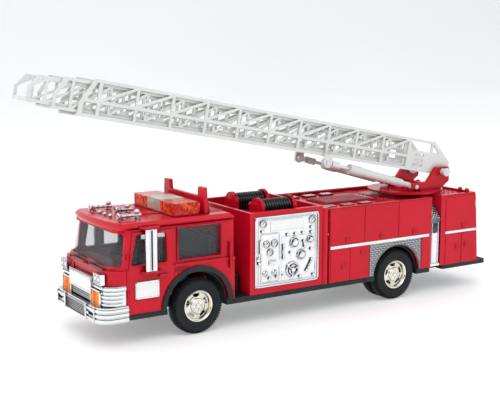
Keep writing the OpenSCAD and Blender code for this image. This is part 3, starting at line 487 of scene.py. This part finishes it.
def rim(name, x, yc, s, body, nodes=()):
    """Plated wheel: deep lip, five openings between broad spokes, raised hub with five nuts."""
    ax = (0, s, 0)
    c = V(x, yc, AXLE_Z)
    bm = bmesh.new()
    add_turned(bm, [(9.88, 3.5), (9.7, 3.95), (9.2, 4.05), (8.85, 3.75), (8.5, 3.0), (8.25, 2.1),
                    (8.1, 1.5),
                    (7.6, 1.25), (6.2, 1.3), (4.9, 1.75), (4.6, 2.1), (4.45, 2.9), (4.2, 3.15),
                    (3.9, 3.2), (0, 3.25),
                    (0, 0.2), (7.6, 0.2), (8.6, 0.2), (9.0, 1.0), (9.88, 1.2), (9.88, 3.5)], c, ax,
                    segs=120)
    # the openings: half an outline as (radius, half angle), mirrored
    half = ((5.35, 0.16), (5.8, 0.27), (6.6, 0.33), (7.3, 0.33), (7.65, 0.25))
    loop = [(r, -h) for r, h in half] + [(r, h) for r, h in reversed(half)]
    n = len(loop)
    cut = bmesh.new()
    for k in range(5):
        a0 = 2 * math.pi * k / 5 + 0.35
        vs = []
        for side in (0.0, 3.2):
            y = s * mm(side - 0.3)
            vs.append([cut.verts.new(c + Vector((mm(r * math.cos(a0 + h)), y,
                                                 mm(r * math.sin(a0 + h)))))
                       for r, h in loop])
        cut.faces.new(vs[0])
        cut.faces.new(list(reversed(vs[1])))
        for i in range(n):
            j = (i + 1) % n
            cut.faces.new((vs[0][i], vs[0][j], vs[1][j], vs[1][i]))
    bm = carve(bm, cut)
    for k in range(5):
        a = 2 * math.pi * k / 5
        p = c + Vector((mm(2.75 * math.cos(a)), 0, mm(2.75 * math.sin(a))))
        add_turned(bm, [(0.62, 3.1), (0.62, 3.5), (0.4, 3.75), (0, 3.8)], p, ax, segs=12)
    add_turned(bm, [(1.5, 3.1), (1.5, 3.6), (1.25, 3.85), (0.7, 4.0), (0, 4.05)], c, ax, segs=32)
    add_turned(bm, [(3.75, 3.1), (3.7, 3.4), (3.45, 3.4), (3.4, 3.1)], c, ax, segs=64)
    piece(name, bm, "champagne", body, angle=32, nodes=nodes)


for nm, s in sides():
    # the left piece stands for the part's node, which holds both sides
    first = s < 0
    tyre("front_tyre_" + nm, 0, s * OUTER_Y, "front_wheels", ("front_tyres",) if first else ())
    tyre("rear_outer_tyre_" + nm, REAR_X, s * OUTER_Y, "rear_wheels",
         ("rear_tyres",) if first else ())
    tyre("rear_inner_tyre_" + nm, REAR_X, s * INNER_Y, "rear_wheels")
    rim("front_rim_" + nm, 0, s * OUTER_Y, s, "front_wheels", ("front_rims",) if first else ())
    rim("rear_rim_" + nm, REAR_X, s * OUTER_Y, s, "rear_wheels", ("rear_rims",) if first else ())
    for x, b in ((0, "front_wheels"), (REAR_X, "rear_wheels")):
        bm = bmesh.new()
        outer, inner = V(x, s * OUTER_Y, AXLE_Z), V(x, s * INNER_Y, AXLE_Z)
        add_turned(bm, [(9.86, -3.4), (9.86, 1.25), (8.9, 1.1), (8.5, -2.9), (9.4, -3.3),
                        (9.86, -3.4)],
                   outer, (0, s, 0), segs=96)
        if x:
            add_turned(bm, [(9.86, -3.4), (9.86, 3.4), (9.2, 3.4), (8.7, -2.9), (9.4, -3.3),
                            (9.86, -3.4)],
                       inner, (0, s, 0), segs=96)
            add_turned(bm, [(8.75, -0.4), (8.75, 0.4), (1.6, 0.4), (1.6, -0.4), (8.75, -0.4)],
                       inner, (0, s, 0), segs=96)
        piece("rim_barrel_%s_%s" % (b, nm), bm, "champagne", b)

# ------------------------------------------------------------------ front end
bm = bmesh.new()
add_box(bm, -65.35, -65.15, -14.4, 14.4, 16.7, 23.3)
for s in (-1, 1):
    add_box(bm, -64.9, -64.4, s * 23 - 3.3, s * 23 + 3.3, 19.65, 20.95)
add_box(bm, -61.1, -60.7, -13.9, 13.9, 25.3, 29.5)
piece("grille_backing", bm, "black", "truck", bevel=0.05)
bm = bmesh.new()
for i in range(6):
    z = 17.1 + i * 1.08
    add_box(bm, -65.95, -65.3, -14.2, 14.2, z, z + 0.42)
for s in (-1, 1):
    add_box(bm, -66.7, -65.3, s * 15.6 - 0.9, s * 15.6 + 0.9, 15.6, 24.7)
    add_box(bm, -66.6, -65.3, s * 27.4 - 0.5, s * 27.4 + 0.5, 16.2, 24.3)
piece("bumper_bars", bm, "chrome", "truck", bevel=0.16)
bm = bmesh.new()
for z in (25.1, 26.3, 27.5, 28.7):
    add_box(bm, -62.6, -60.9, -14.2, 14.2, z + 0.65, z + 1.15)
for s in (-1, 1):
    for d in (-6.4, 6.4):
        add_box(bm, -62.9, -61.6, s * LAMP_Y + d - 0.5, s * LAMP_Y + d + 0.5, 25, 34)
    for z in (24.9, 33.7):
        add_box(bm, -62.9, -61.6, s * LAMP_Y - 6.9, s * LAMP_Y + 6.9, z - 0.5, z + 0.5)
add_box(bm, -63.1, -62.3, -15.9, 15.9, 38.7, 39.6)
add_box(bm, -63.1, -62.3, -15.9, 15.9, 30.0, 30.9)
for s in (-1, 1):
    add_box(bm, -63.1, -62.3, s * 15.5 - 0.45, s * 15.5 + 0.45, 30.4, 39.2)
piece("grille_frames", bm, "chrome", "truck", bevel=0.18)
# amber lamps: upright ribs, a crossing bar and an orange stripe
for nm, s in sides():
    bm = bmesh.new()
    for i in range(8):
        y = s * LAMP_Y + (-5.2 + i * 1.25) + 0.3
        add_box(bm, -62.75, -62.3, y, y + 0.8, 25.6, 33.2)
    add_box(bm, -62.95, -62.35, s * LAMP_Y - 5.6, s * LAMP_Y + 5.6, 28.6, 29.1)
    piece("lamp_ribs_" + nm, bm, "amber", "truck", bevel=0.2, segs=3)
    bm = bmesh.new()
    add_box(bm, -63.0, -62.4, s * LAMP_Y - 0.9, s * LAMP_Y + 1.6, 25.5, 33.3)
    piece("lamp_stripe_" + nm, bm, "orange", "truck", bevel=0.25, segs=3)
# lamp pods: bezels, lamp glass, and rivets below
for nm, s in sides():
    bm = bmesh.new()
    for d in (-2.3, 2.3):
        add_turned(bm, [(2.05, -0.2), (2.1, 0.35), (1.85, 0.55), (1.6, 0.35), (1.5, -0.3),
                        (0, -0.4)],
                   V(-62.75, s * POD_Y + d, POD_Z), (-1, 0, 0), segs=40)
    add_box(bm, -63.25, -62.7, s * POD_Y - 4.5, s * POD_Y + 4.5, 37.85, 38.3)
    add_box(bm, -63.25, -62.7, s * POD_Y - 4.5, s * POD_Y + 4.5, 43.3, 43.7)
    piece("lamp_bezels_" + nm, bm, "chrome", "truck", bevel=0.1)
    bm = bmesh.new()
    for d in (-2.3, 2.3):
        add_turned(bm, [(1.55, -0.3), (1.5, 0.0), (1.1, 0.35), (0.6, 0.5), (0, 0.55)],
                   V(-62.8, s * POD_Y + d, POD_Z),
                   (-1, 0, 0), segs=32)
    piece("lamp_glass_" + nm, bm, "lamp_glass", "truck")
    bm = bmesh.new()
    add_turned(bm, [(0.5, 0), (0.5, 0.25), (0.2, 0.4), (0, 0.4)], V(-62.9, s * POD_Y, 38.9),
               (-1, 0, 0), segs=16)
    for z in (33, 36.2):
        add_turned(bm, [(0.7, 0), (0.7, 0.5), (0.4, 0.8), (0, 0.85)], V(-61.4, s * 29.0, z),
                   (-1, 0, 0), segs=16)
    piece("front_rivets_" + nm, bm, "chrome", "truck")

# ------------------------------------------------------------------ cab
for nm, s in sides():
    bm = bmesh.new()
    # dark red for the shade in each dimple: painted shade
    for i in range(7):
        for j in range(3):
            x = -16.2 + i * 1.35 + (0.6 if j % 2 else 0)
            add_ball(bm, V(x, s * (HW + 0.3), 41.6 + j * 1.3), 0.45, 12, 8, (1, 0.5, 0.8))
    piece("cab_dimples_" + nm, bm, "dark_red", "truck")
    bm = bmesh.new()
    # hinge barrels, belt bead, gutter and the upright bead behind the front door
    for z in (52, 30):
        add_rod(bm, V(-47.6, s * (HW + 0.25), z), V(-47.6, s * (HW + 0.25), z + 3.2), 0.55, 16)
    add_box(bm, -16.4, 24.4, s * (HW + 0.15) - 0.25, s * (HW + 0.15) + 0.25, 45.2, 45.9)
    add_box(bm, -48, 24.2, s * (HW - 0.15) - 0.3, s * (HW - 0.15) + 0.3, 68.45, 68.95)
    add_box(bm, -20.4, -19.4, s * (HW + 0.4) - 0.3, s * (HW + 0.4) + 0.3, 28, 34)
    piece("cab_beads_" + nm, bm, "red", "truck", bevel=0.18)
    bm = bmesh.new()
    for pts in (((-42, 65.9), (-22.3, 65.9), (-21.6, 47.8), (-45.6, 47.8)),
                ((-14.3, 67.6), (15.2, 67.6), (15.2, 48), (-14.3, 48))):
        n = len(pts)
        cx = sum(p[0] for p in pts) / n
        cz = sum(p[1] for p in pts) / n
        for i in range(n):
            a, b = pts[i], pts[(i + 1) % n]
            pa = V(cx + (a[0] - cx) * 1.03, s * (HW + 0.1), cz + (a[1] - cz) * 1.03)
            pb = V(cx + (b[0] - cx) * 1.03, s * (HW + 0.1), cz + (b[1] - cz) * 1.03)
            add_rod(bm, pa, pb, 0.42, 12)
            add_ball(bm, pa, 0.42, 12, 8)
    piece("window_beads_" + nm, bm, "red", "truck")
    # a thin black sheet in the gap by the mirror: painted shade
    bm = bmesh.new()
    add_box(bm, -34.2, -33.2, s * (HW + 4.25) - 0.12, s * (HW + 4.25) + 0.12, 45, 68.6)
    piece("mirror_gap_" + nm, bm, "black", "truck", bevel=0.05)
for nm, s in sides():
    bm = bmesh.new()
    y0, y1 = span(s, HW + 0.7, HW + 1.0)
    for box in ((-43, -27.8, 37.3, 38), (-43, -27.8, 28, 28.7), (-43, -42.3, 28, 38),
                (-28.5, -27.8, 28, 38)):
        add_box(bm, box[0], box[1], y0, y1, box[2], box[3])
    piece("plaque_rim_" + nm, bm, "chrome", "truck", bevel=0.1)

# wiper arms and blades on the screen
bm = bmesh.new()
for y in (-14, 12):
    a = V(-60.2, y + 8, 46.4)
    b = V(-58.5, y - 6, 48.6)
    add_rod(bm, a, b, 0.3, 12)
    add_rod(bm, V(-58.7, y - 13, 47.9), V(-58.4, y + 2, 49.5), 0.28, 12)
    add_ball(bm, a, 0.7, 16, 10)
piece("wiper_arms", bm, "black", "truck")
# dashboard dials and seat piping
bm = bmesh.new()
for i in range(4):
    add_turned(bm, [(1.3, 0), (1.3, 0.4), (1.0, 0.5), (0.9, 0.2), (0, 0.2)],
               V(-41, -22 + i * 3.2, 46.5), (1, 0, 0), segs=24)
piece("dash_dials", bm, "chrome", "truck")
bm = bmesh.new()
for y in (-17, 17):
    for k in range(5):
        for x in (-17.3, -20.7):
            add_rod(bm, V(x, y - 6.4 + k * 3.2, 46), V(x, y - 6.4 + k * 3.2, 58), 0.5, 12)
piece("seat_channels", bm, "black", "truck")

# roof horns: bell mouths, rear domes and feet
bm = bmesh.new()
for x, y, ln in ((-47.2, 19.2, 14.5), (-46.4, -19.4, 14.5), (-38, 2.4, 10.5)):
    c, foot = V(x, y, HORN_Z), x + ln - 2.0
    add_turned(bm, [(1.7, 0.2), (2.1, -0.15), (2.25, 0.1), (2.2, 0.45), (1.6, 1.2), (1.1, 2.6),
                    (0.9, 2.6)], c, (1, 0, 0), segs=36)
    for k, r in ((0.4, 1.5), (0.62, 1.2)):
        add_turned(bm, [(0.8, -0.25), (r, -0.2), (r, 0.2), (0.8, 0.25)], V(x + ln * k, y, HORN_Z),
                   (1, 0, 0), segs=28)
    add_rod(bm, V(foot, y, 72.9), V(foot, y, 76.6), 0.7, 16)
    add_ball(bm, V(foot, y, 77.0), 1.75, 24, 16, (1, 1, 0.85))
    add_turned(bm, [(1.9, 0), (1.9, 0.35), (1.2, 0.7), (0, 0.7)], V(foot, y, ROOF_Z), (0, 0, 1),
               segs=28)
    add_turned(bm, [(1.3, 0), (1.3, 0.3), (0.7, 0.6), (0, 0.6)], V(x + 3.1, y, ROOF_Z), (0, 0, 1),
               segs=24)
piece("horn_details", bm, "chrome", "truck", angle=40)

# ------------------------------------------------------------------ light bar
for nm, s in sides():
    bm = bmesh.new()
    for i in range(9):
        x = -12.2 + i * 1.95
        add_box(bm, x, x + 0.9, s * 27.3 - 0.12, s * 27.3 + 0.12, 74.6, 80.0)
    for i in range(8):
        y = s * (10.6 + i * 2.05)
        add_box(bm, -13.55, -13.25, y, y + 0.95, 74.6, 80.0)
    piece("bar_ribs_" + nm, bm, "red_lens", "truck", bevel=0.08)
    # bulbs that give off light of their own: painted glow
    bm = bmesh.new()
    for x, y in ((-11.0 + 1.6, s * 14), (-3.6, s * 25.0 - 1.6 * s)):
        add_ball(bm, V(x, y, 76.9), 1.15, 20, 14)
    piece("bar_bulbs_" + nm, bm, "glow", "truck")
bm = bmesh.new()
for k in range(12):
    add_box(bm, -12.4 + k * 1.35, -11.5 + k * 1.35, -8.6, 8.6, 80.55, 80.9)
piece("bar_centre_cap", bm, "plate_warm", "truck", bevel=0.1)

# ------------------------------------------------------------------ pump panels
def dial(bm, x, z, r, s, y0, kind):
    """Round fitting of radius r: kind 0 is a gauge, 1 a capped outlet, 2 the suction inlet."""
    c = V(x, s * y0, z)

    def at(part, a, out):
        """A point at part of the radius and angle a, out mm in front of the panel."""
        return V(x + r * part * math.cos(a), s * (y0 + out), z + r * part * math.sin(a))

    ax = (0, s, 0)
    add_turned(bm, [(r, -0.2), (r * 1.02, 0.5), (r * 0.95, 0.95), (r * 0.84, 1.0), (r * 0.76, 0.6),
                    (r * 0.72, 0.25),
                    (0, 0.3)], c, ax, segs=48)
    if kind == 0:
        add_turned(bm, [(r * 0.2, 0.2), (r * 0.16, 0.7), (0, 0.75)], c, ax, segs=16)
        for k in range(8):
            a = math.pi * (0.75 - k * 1.5 / 7)
            p = V(x + r * 0.55 * math.sin(a), s * (y0 + 0.32), z + r * 0.55 * math.cos(a))
            add_ball(bm, p, 0.13, 8, 6)
        a = 0.6
        tip = V(x + r * 0.5 * math.sin(a), s * (y0 + 0.5), z + r * 0.5 * math.cos(a))
        add_rod(bm, c + Vector((0, s * mm(0.5), 0)), tip, 0.12, 8)
    elif kind == 1:
        # two lugs on the cap
        add_turned(bm, [(r * 0.62, 0.2), (r * 0.62, 1.5), (r * 0.5, 1.75), (r * 0.2, 1.8),
                        (0, 1.6)], c, ax, segs=40)
        for a in (0.5, 0.5 + math.pi):
            add_rod(bm, at(0.5, a, 1.2), at(0.98, a, 1.3), 0.42, 12)
    else:
        # three arms that end in balls
        add_turned(bm, [(r * 0.66, 0.2), (r * 0.66, 1.4), (r * 0.56, 1.7), (r * 0.5, 0.8),
                        (r * 0.3, 0.7), (r * 0.26, 1.5),
                        (0, 1.6)], c, ax, segs=48)
        for k in range(3):
            a = 0.4 + k * 2 * math.pi / 3
            add_rod(bm, at(0.25, a, 1.1), at(0.9, a, 1.2), 0.5, 12)
            add_ball(bm, at(0.9, a, 1.2), 0.7, 12, 8)


def knob(bm, x, z, r, s, y0):
    """Small mushroom knob or button."""
    add_turned(bm, [(r * 0.6, -0.2), (r * 0.55, 0.5), (r, 0.7), (r, 1.2), (r * 0.7, 1.5),
                    (0, 1.55)], V(x, s * y0, z),
               (0, s, 0), segs=20)


def rr_frame(bm, x0, x1, z0, z1, s, y0, r, w=0.5):
    """A raised bead round a rectangle with round corners."""
    pts = []
    for cx, cz, a in ((x1 - r, z1 - r, 0), (x0 + r, z1 - r, 90), (x0 + r, z0 + r, 180),
                      (x1 - r, z0 + r, 270)):
        for k in range(5):
            t = math.radians(a + k * 22.5)
            pts.append((cx + r * math.cos(t), cz + r * math.sin(t)))
    n = len(pts)
    for i in range(n):
        a, b = pts[i], pts[(i + 1) % n]
        add_rod(bm, V(a[0], s * y0, a[1]), V(b[0], s * y0, b[1]), w, 10)
        add_ball(bm, V(a[0], s * y0, a[1]), w, 10, 6)


for nm, s in sides():
    bm = bmesh.new()
    Y = HW - 0.1
    # face sheet and frame
    add_box(bm, 40.0, 88.8, *span(s, Y - 0.7, Y), 23.2, 68.2)
    rr_frame(bm, 40.4, 88.4, 23.6, 67.9, s, Y + 0.15, 1.6, 0.6)
    rr_frame(bm, 42.6, 86.4, 25.4, 66.2, s, Y, 1.2, 0.28)
    rr_frame(bm, 44.2, 58.2, 26.2, 57.2, s, Y, 1.0, 0.32)
    add_box(bm, 44.6, 57.8, *span(s, Y - 0.1, Y + 0.22), 26.6, 56.8)
    rr_frame(bm, 60.0, 86.2, 25.6, 54.2, s, Y - 0.05, 1.0, 0.2)
    for x, z, r, k in ((83.9, 63.3, 2.6, 0), (46.1, 63.8, 2.6, 0), (48.6, 50.6, 2.4, 0),
                       (54.6, 50.7, 2.5, 0),
                       (51.2, 45.2, 2.4, 0), (69.8, 49.7, 3.5, 1), (75.2, 41.3, 3.4, 1),
                       (82.2, 50.6, 2.5, 1),
                       (68.3, 32.2, 4.9, 2)):
        dial(bm, x, z, r, s, Y + (0.2 if x < 58 and z < 60 else 0), k)
    for x, z, r in ((64.3, 55.3, 0.9), (70.3, 55.3, 0.9), (76.3, 55.4, 0.9), (82.9, 55.2, 0.9),
                    (82.9, 58.4, 0.9),
                    (45.2, 58.9, 0.9), (66.8, 43.4, 0.9), (82.8, 44.2, 1.0), (74.2, 27, 0.9),
                    (84.8, 27, 0.9),
                    (60.8, 29.5, 0.5), (50.6, 28.6, 1.1), (56.2, 29.0, 1.1), (42.0, 41.5, 1.3),
                    (42.8, 38.8, 1.0)):
        knob(bm, x, z, r, s, Y)
    for x, z in ((47.4, 31.9), (54.3, 31.9)):
        add_turned(bm, [(1.9, -0.1), (1.9, 0.4), (1.6, 0.7), (1.3, 0.3), (0, 0.3)],
                   V(x, s * (Y + 0.2), z), (0, s, 0), segs=32)
        add_rod(bm, V(x - 1.2, s * (Y + 0.8), z - 1.0), V(x + 1.2, s * (Y + 0.8), z + 1.0), 0.4, 10)
    # pull levers, T handles and the open handle at the front edge
    for a, b in (((61.1, 48.6), (61.1, 40.4)), ((76.8, 50.0), (77.6, 46.6)),
                 ((83.2, 37.4), (79.2, 30.4))):
        add_rod(bm, V(a[0], s * (Y + 0.9), a[1]), V(b[0], s * (Y + 0.9), b[1]), 0.55, 12)
        for q in (a, b):
            add_ball(bm, V(q[0], s * (Y + 0.9), q[1]), 0.95, 14, 10)
        m = ((a[0] + b[0]) / 2, (a[1] + b[1]) / 2)
        add_rod(bm, V(m[0], s * (Y - 0.2), m[1]), V(m[0], s * (Y + 0.9), m[1]), 0.6, 12)
    add_box(bm, 59.9, 62.3, *span(s, Y, Y + 0.6), 43.2, 45.8)
    add_box(bm, 50.2, 55.4, *span(s, Y, Y + 0.9), 37.2, 39.8)
    add_box(bm, 50.8, 54.8, *span(s, Y + 0.8, Y + 1.3), 38.0, 39.0)
    add_rod(bm, V(43.4, s * (Y + 1.1), 53.4), V(43.4, s * (Y + 1.1), 45.4), 0.55, 12)
    for z in (53.2, 45.6):
        add_rod(bm, V(43.4, s * (Y - 0.2), z), V(43.4, s * (Y + 1.1), z), 0.5, 12)
    piece("pump_panel_" + nm, bm, "chrome", "truck", bevel=0.08, angle=40,
          nodes=(nm + "_pump_panel",))
    bm = bmesh.new()
    add_box(bm, 51.4, 76.9, *span(s, Y, Y + 0.35), 58.9, 65.3)
    piece("panel_plate_" + nm, bm, "plate", "truck", bevel=0.15)

# ------------------------------------------------------------------ treadplates
def lozenge(bm, c, u, v, n):
    """Raised diamond at c: a and b are its half length and half width, h its height, in mm."""
    a, b, h = 1.0, 0.5, 0.24
    top = [c + n * mm(h) + u * mm(a * 0.45), c + n * mm(h) - u * mm(a * 0.45)]
    base = [c + u * mm(a), c + v * mm(b), c - u * mm(a), c - v * mm(b)]
    B = [bm.verts.new(p - n * mm(0.03)) for p in base]
    T = [bm.verts.new(p) for p in top]
    bm.faces.new((B[0], B[1], T[0]))
    bm.faces.new((B[1], T[1], T[0]))
    bm.faces.new((B[1], B[2], T[1]))
    bm.faces.new((B[2], B[3], T[1]))
    bm.faces.new((B[3], T[0], T[1]))
    bm.faces.new((B[3], B[0], T[0]))
    bm.faces.new(tuple(reversed(B)))


def tread_field(bm, origin, eu, ev, n, lu, lv, step, keep=None):
    """Diamonds in alternate directions over lu by lv mm from origin, where keep allows them."""
    i = 0
    eu, ev, n = (Vector(q).normalized() for q in (eu, ev, n))
    while (i + 0.5) * step < lu:
        j = 0
        while (j + 0.5) * step < lv:
            pu, pv = (i + 0.5) * step, (j + 0.5) * step
            if keep is None or keep(pu, pv):
                d = 1 if (i + j) % 2 else -1
                u = (eu * 0.82 + ev * (0.57 * d)).normalized()
                lozenge(bm, origin + eu * mm(pu) + ev * mm(pv), u, n.cross(u), n)
            j += 1
        i += 1


for nm, s in sides():
    bm = bmesh.new()
    arch_x, arch_z, arch_r = 132, 19.4, 21.6
    tread_field(bm, V(arch_x, s * (HW + 0.4), arch_z), (1, 0, 0), (0, 0, 1), (0, s, 0), 45.6, 21.8,
                1.5,
                lambda u, v: (arch_x + u - REAR_X) ** 2 + (arch_z + v - 18) ** 2 > arch_r ** 2)
    piece("arch_tread_" + nm, bm, "chrome", "truck", smooth=False)
    bm = bmesh.new()
    top = V(187.3, s * 22.75, 66.42)
    low = V(187.3, s * 33.55, 53.65)
    dv = low - top
    ev = dv.normalized()
    n = Vector((1, 0, 0)).cross(ev)
    if n.z < 0:
        n = -n
    tread_field(bm, top, (1, 0, 0), ev, n, 8.4, dv.length * 1000, 1.4)
    piece("slope_tread_" + nm, bm, "chrome", "truck", smooth=False)
    # dark cap of the stabiliser and the ribs down its face
    b = nm + "_leg"
    bm = bmesh.new()
    add_turned(bm, [(3.3, -0.1), (3.3, 0.25), (2.8, 0.4), (0, 0.45)],
               V(191.2, s * (HW - 0.85), 46.2), (0, s, 0), segs=40)
    add_box(bm, 187.6, 194.9, *span(s, HW - 0.9, HW - 0.5), 43.2, 50.4)
    piece("leg_cap_" + nm, bm, "smoke", b, bevel=0.12)
    bm = bmesh.new()
    for x in (188.1, 193.8):
        add_box(bm, x, x + 0.6, *span(s, HW - 0.9, HW - 0.45), 21.6, 50.2)
    piece("leg_ribs_" + nm, bm, "chrome", b, bevel=0.12)

# ------------------------------------------------------------------ rear body trim
for nm, s in sides():
    bm = bmesh.new()
    # square frames of the door latches, each with a small tongue
    y0, y1 = span(s, HW + 0.7, HW + 0.95)
    for x, z in ((112.5, 46.8), (141.7, 46.8), (170.8, 46.8), (109.5, 29), (217.4, 46.6),
                 (211.6, 32),
                 (220.4, 32)):
        for d in ((-1.55, -1.15, -1.5, 1.5), (1.15, 1.55, -1.5, 1.5), (-1.5, 1.5, -1.55, -1.15),
                  (-1.5, 1.5, 1.15, 1.55)):
            add_box(bm, x + d[0], x + d[1], y0, y1, z + d[2], z + d[3])
        add_box(bm, x - 0.45, x + 0.45, y0, y1, z - 0.5, z + 0.6)
    add_turned(bm, [(2.2, 0.6), (2.15, 0.85), (1.8, 0.85), (1.75, 0.6)], V(126, s * HW, 37),
               (0, s, 0), segs=36)
    add_box(bm, 124.9, 127.1, *span(s, HW + 0.65, HW + 0.9), 36.8, 37.2)
    # long hinge beads over the upper doors
    add_rod(bm, V(98.4, s * (HW + 0.1), 68.75), V(186.4, s * (HW + 0.1), 68.75), 0.4, 12)
    add_rod(bm, V(199.4, s * (HW + 0.05), 68.3), V(228.6, s * (HW + 0.05), 68.3), 0.35, 12)
    piece("body_trim_" + nm, bm, "red", "truck", bevel=0.08)
    bm = bmesh.new()
    for k in range(14):
        x = 24.5 + k * 8.0
        if not 130 < x < 182:
            for z in (16.3, 17.7):
                add_box(bm, x, x + 5.2, *span(s, HW - 0.6, HW - 0.2), z, z + 0.6)
    for k in range(3):
        x = -46 + k * 7.5
        add_box(bm, x, x + 5.2, *span(s, HW - 0.6, HW - 0.2), 16.7, 17.5)
    piece("board_ribs_" + nm, bm, "slate", "truck", bevel=0.12)
bm = bmesh.new()
for k in range(5):
    add_box(bm, 233.6 + k * 1.5, 234.3 + k * 1.5, -31, 31, 18.9, 19.25)
piece("step_ribs", bm, "slate", "truck", bevel=0.1)
# rear face, which is guessed: doors, handrails and a knob at each side
bm = bmesh.new()
tilt = Matrix.Rotation(math.radians(-4.5), 4, "Y")
for y0, y1 in ((-31, -11), (-9, 9), (11, 31)):
    add_box(bm, 230.5, 231.1, y0, y1, 24, 60, tilt)
for y in (-32.4, 32.4):
    add_rod(bm, V(233.0, y, 24), V(230.6, y, 58), 0.6, 14)
    for z, x in ((24, 232.6), (58, 230)):
        add_rod(bm, V(x - 1, y, z), V(x + 0.8, y, z), 0.55, 12)
for s in (-1, 1):
    add_ball(bm, V(230.4, s * 30.4, 62.6), 1.1, 20, 12)
piece("tail_doors", bm, "red", "truck", bevel=0.25)

# ------------------------------------------------------------------ deck
bm = bmesh.new()
for s in (-1, 1):
    for x in (102, 117, 132):
        tread_field(bm, V(x + 0.5, s * 22 - 2.6, 68.42), (1, 0, 0), (0, 1, 0), (0, 0, 1), 8, 5.2,
                    1.3)
piece("deck_pads", bm, "chrome", "truck", smooth=False)
bm = bmesh.new()
tread_field(bm, V(157, -30, 67.03), (1, 0, 0), (0, 1, 0), (0, 0, 1), 8, 60, 2.0)
tread_field(bm, V(94, -28, 69.03), (1, 0, 0), (0, 1, 0), (0, 0, 1), 3.5, 56, 1.6)
tread_field(bm, V(201, -30, 68.43), (1, 0, 0), (0, 1, 0), (0, 0, 1), 22, 60, 2.2, lambda u,
            v: v > 3 and v < 57)
piece("deck_tread", bm, "red", "truck", smooth=False)
# hose reels: wound hose over the drum, hub caps on the brackets
for nm, s in sides():
    b = nm + "_reel"
    bm = bmesh.new()
    turns = 11
    gap = 21.2 / turns
    wound_r, hose_r = 4.95, 1.0
    segs, sec = 48, 12
    for i in range(turns):
        x = 55.2 + gap * (i + 0.5)
        ring = []
        for a in range(segs):
            ta = 2 * math.pi * a / segs
            row = []
            for c in range(sec):
                tc = 2 * math.pi * c / sec
                rr = wound_r + hose_r * math.cos(tc)
                row.append(bm.verts.new(V(x + gap * 0.36 * math.sin(tc),
                                          s * REEL_Y + rr * math.cos(ta),
                                          REEL_Z + rr * math.sin(ta))))
            ring.append(row)
        for a in range(segs):
            for c in range(sec):
                p, q = ring[a], ring[(a + 1) % segs]
                bm.faces.new((p[c], p[(c + 1) % sec], q[(c + 1) % sec], q[c]))
    add_rod(bm, V(53.4, s * REEL_Y, REEL_Z), V(78.3, s * REEL_Y, REEL_Z), 1.2, 24)
    add_rod(bm, V(55.15, s * REEL_Y, REEL_Z), V(76.6, s * REEL_Y, REEL_Z), 4.4, 48)
    piece("hose_wound_" + nm, bm, "hose", b, nodes=(nm + "_hose_reel",))
    bm = bmesh.new()
    for x in REEL_ENDS:
        for d in (-1, 1):
            add_turned(bm, [(4.2, 1.0), (4.0, 1.22), (3.2, 1.34), (0, 1.38)],
                       V(x, s * REEL_Y, REEL_Z), (d, 0, 0), segs=48)
    piece("reel_rings_" + nm, bm, "red", "truck")

# ------------------------------------------------------------------ stage
# a floor that curves up into a wall behind the truck
fl = bmesh.new()
pts = [(-9.0, 0.0)]
for i in range(25):
    t = i / 24
    if t < 0.5:
        y, z = -2.0 + t * 2 * 3.6, 0.0
    else:
        a = (t - 0.5) * math.pi
        y, z = 1.6 + 0.9 * math.sin(a), 0.9 * (1 - math.cos(a))
    pts.append((y, z))
pts.append((2.5, 3.0))
rows = [[fl.verts.new((x, y, z - 0.0001)) for x in (-9, 9)] for y, z in pts]
for p, q in zip(rows, rows[1:]):
    fl.faces.new((p[0], p[1], q[1], q[0]))
me = bpy.data.meshes.new("floor")
fl.to_mesh(me)
fl.free()
floor = bpy.data.objects.new("floor", me)
scene.collection.objects.link(floor)
t = Tree("floor")
t.link(t.mix(t.ramp(t.noise(2.0, 2.0), 0.0, 1.0), (0.86, 0.86, 0.86), (0.90, 0.90, 0.90)),
       t.p.inputs["Base Color"])
t.set(Roughness=0.6)
t.p.inputs["Emission Color"].default_value = (1, 1, 1, 1)
t.p.inputs["Emission Strength"].default_value = 0.26
me.materials.append(t.m)
for p in me.polygons:
    p.use_smooth = True


def area(name, loc, size, power, color=(1, 1, 1)):
    """Square area light at loc, aimed at the middle of the truck."""
    light = bpy.data.lights.new(name, "AREA")
    light.energy = power
    light.size = size
    light.color = color
    o = bpy.data.objects.new(name, light)
    scene.collection.objects.link(o)
    o.location = loc
    o.rotation_euler = (Vector((0, 0, 0.06)) - Vector(loc)).to_track_quat("-Z", "Y").to_euler()


area("key", (-0.55, -0.75, 1.15), 0.9, 6.2, (1.0, 0.98, 0.95))
area("fill", (0.9, -1.0, 0.6), 1.2, 3, (0.95, 0.98, 1.0))
area("top", (0.1, 0.25, 1.4), 1.4, 4.2)
area("front", (-1.3, 0.15, 0.5), 0.8, 2.5)
w = bpy.data.worlds.new("world")
scene.world = w
w.use_nodes = True
bg = w.node_tree.nodes["Background"]
wc = w.node_tree.nodes.new("ShaderNodeTexCoord")
sep = w.node_tree.nodes.new("ShaderNodeSeparateXYZ")
wr = w.node_tree.nodes.new("ShaderNodeValToRGB")
w.node_tree.links.new(wc.outputs["Generated"], sep.inputs[0])
w.node_tree.links.new(sep.outputs[2], wr.inputs[0])
w.node_tree.links.new(wr.outputs[0], bg.inputs[0])
for pos, c in ((0.03, (0.24, 0.25, 0.27, 1)), (0.10, (0.18, 0.19, 0.21, 1)),
               (0.18, (0.60, 0.62, 0.65, 1)),
               (0.45, (0.95, 0.97, 1.0, 1))):
    el = wr.color_ramp.elements.new(pos)
    el.color = c
wr.color_ramp.elements[-1].color = (0.95, 0.97, 1.0, 1)
wr.color_ramp.elements[0].color = (0.90, 0.91, 0.92, 1)
bg.inputs[1].default_value = 0.68
scene.view_settings.view_transform = "Standard"
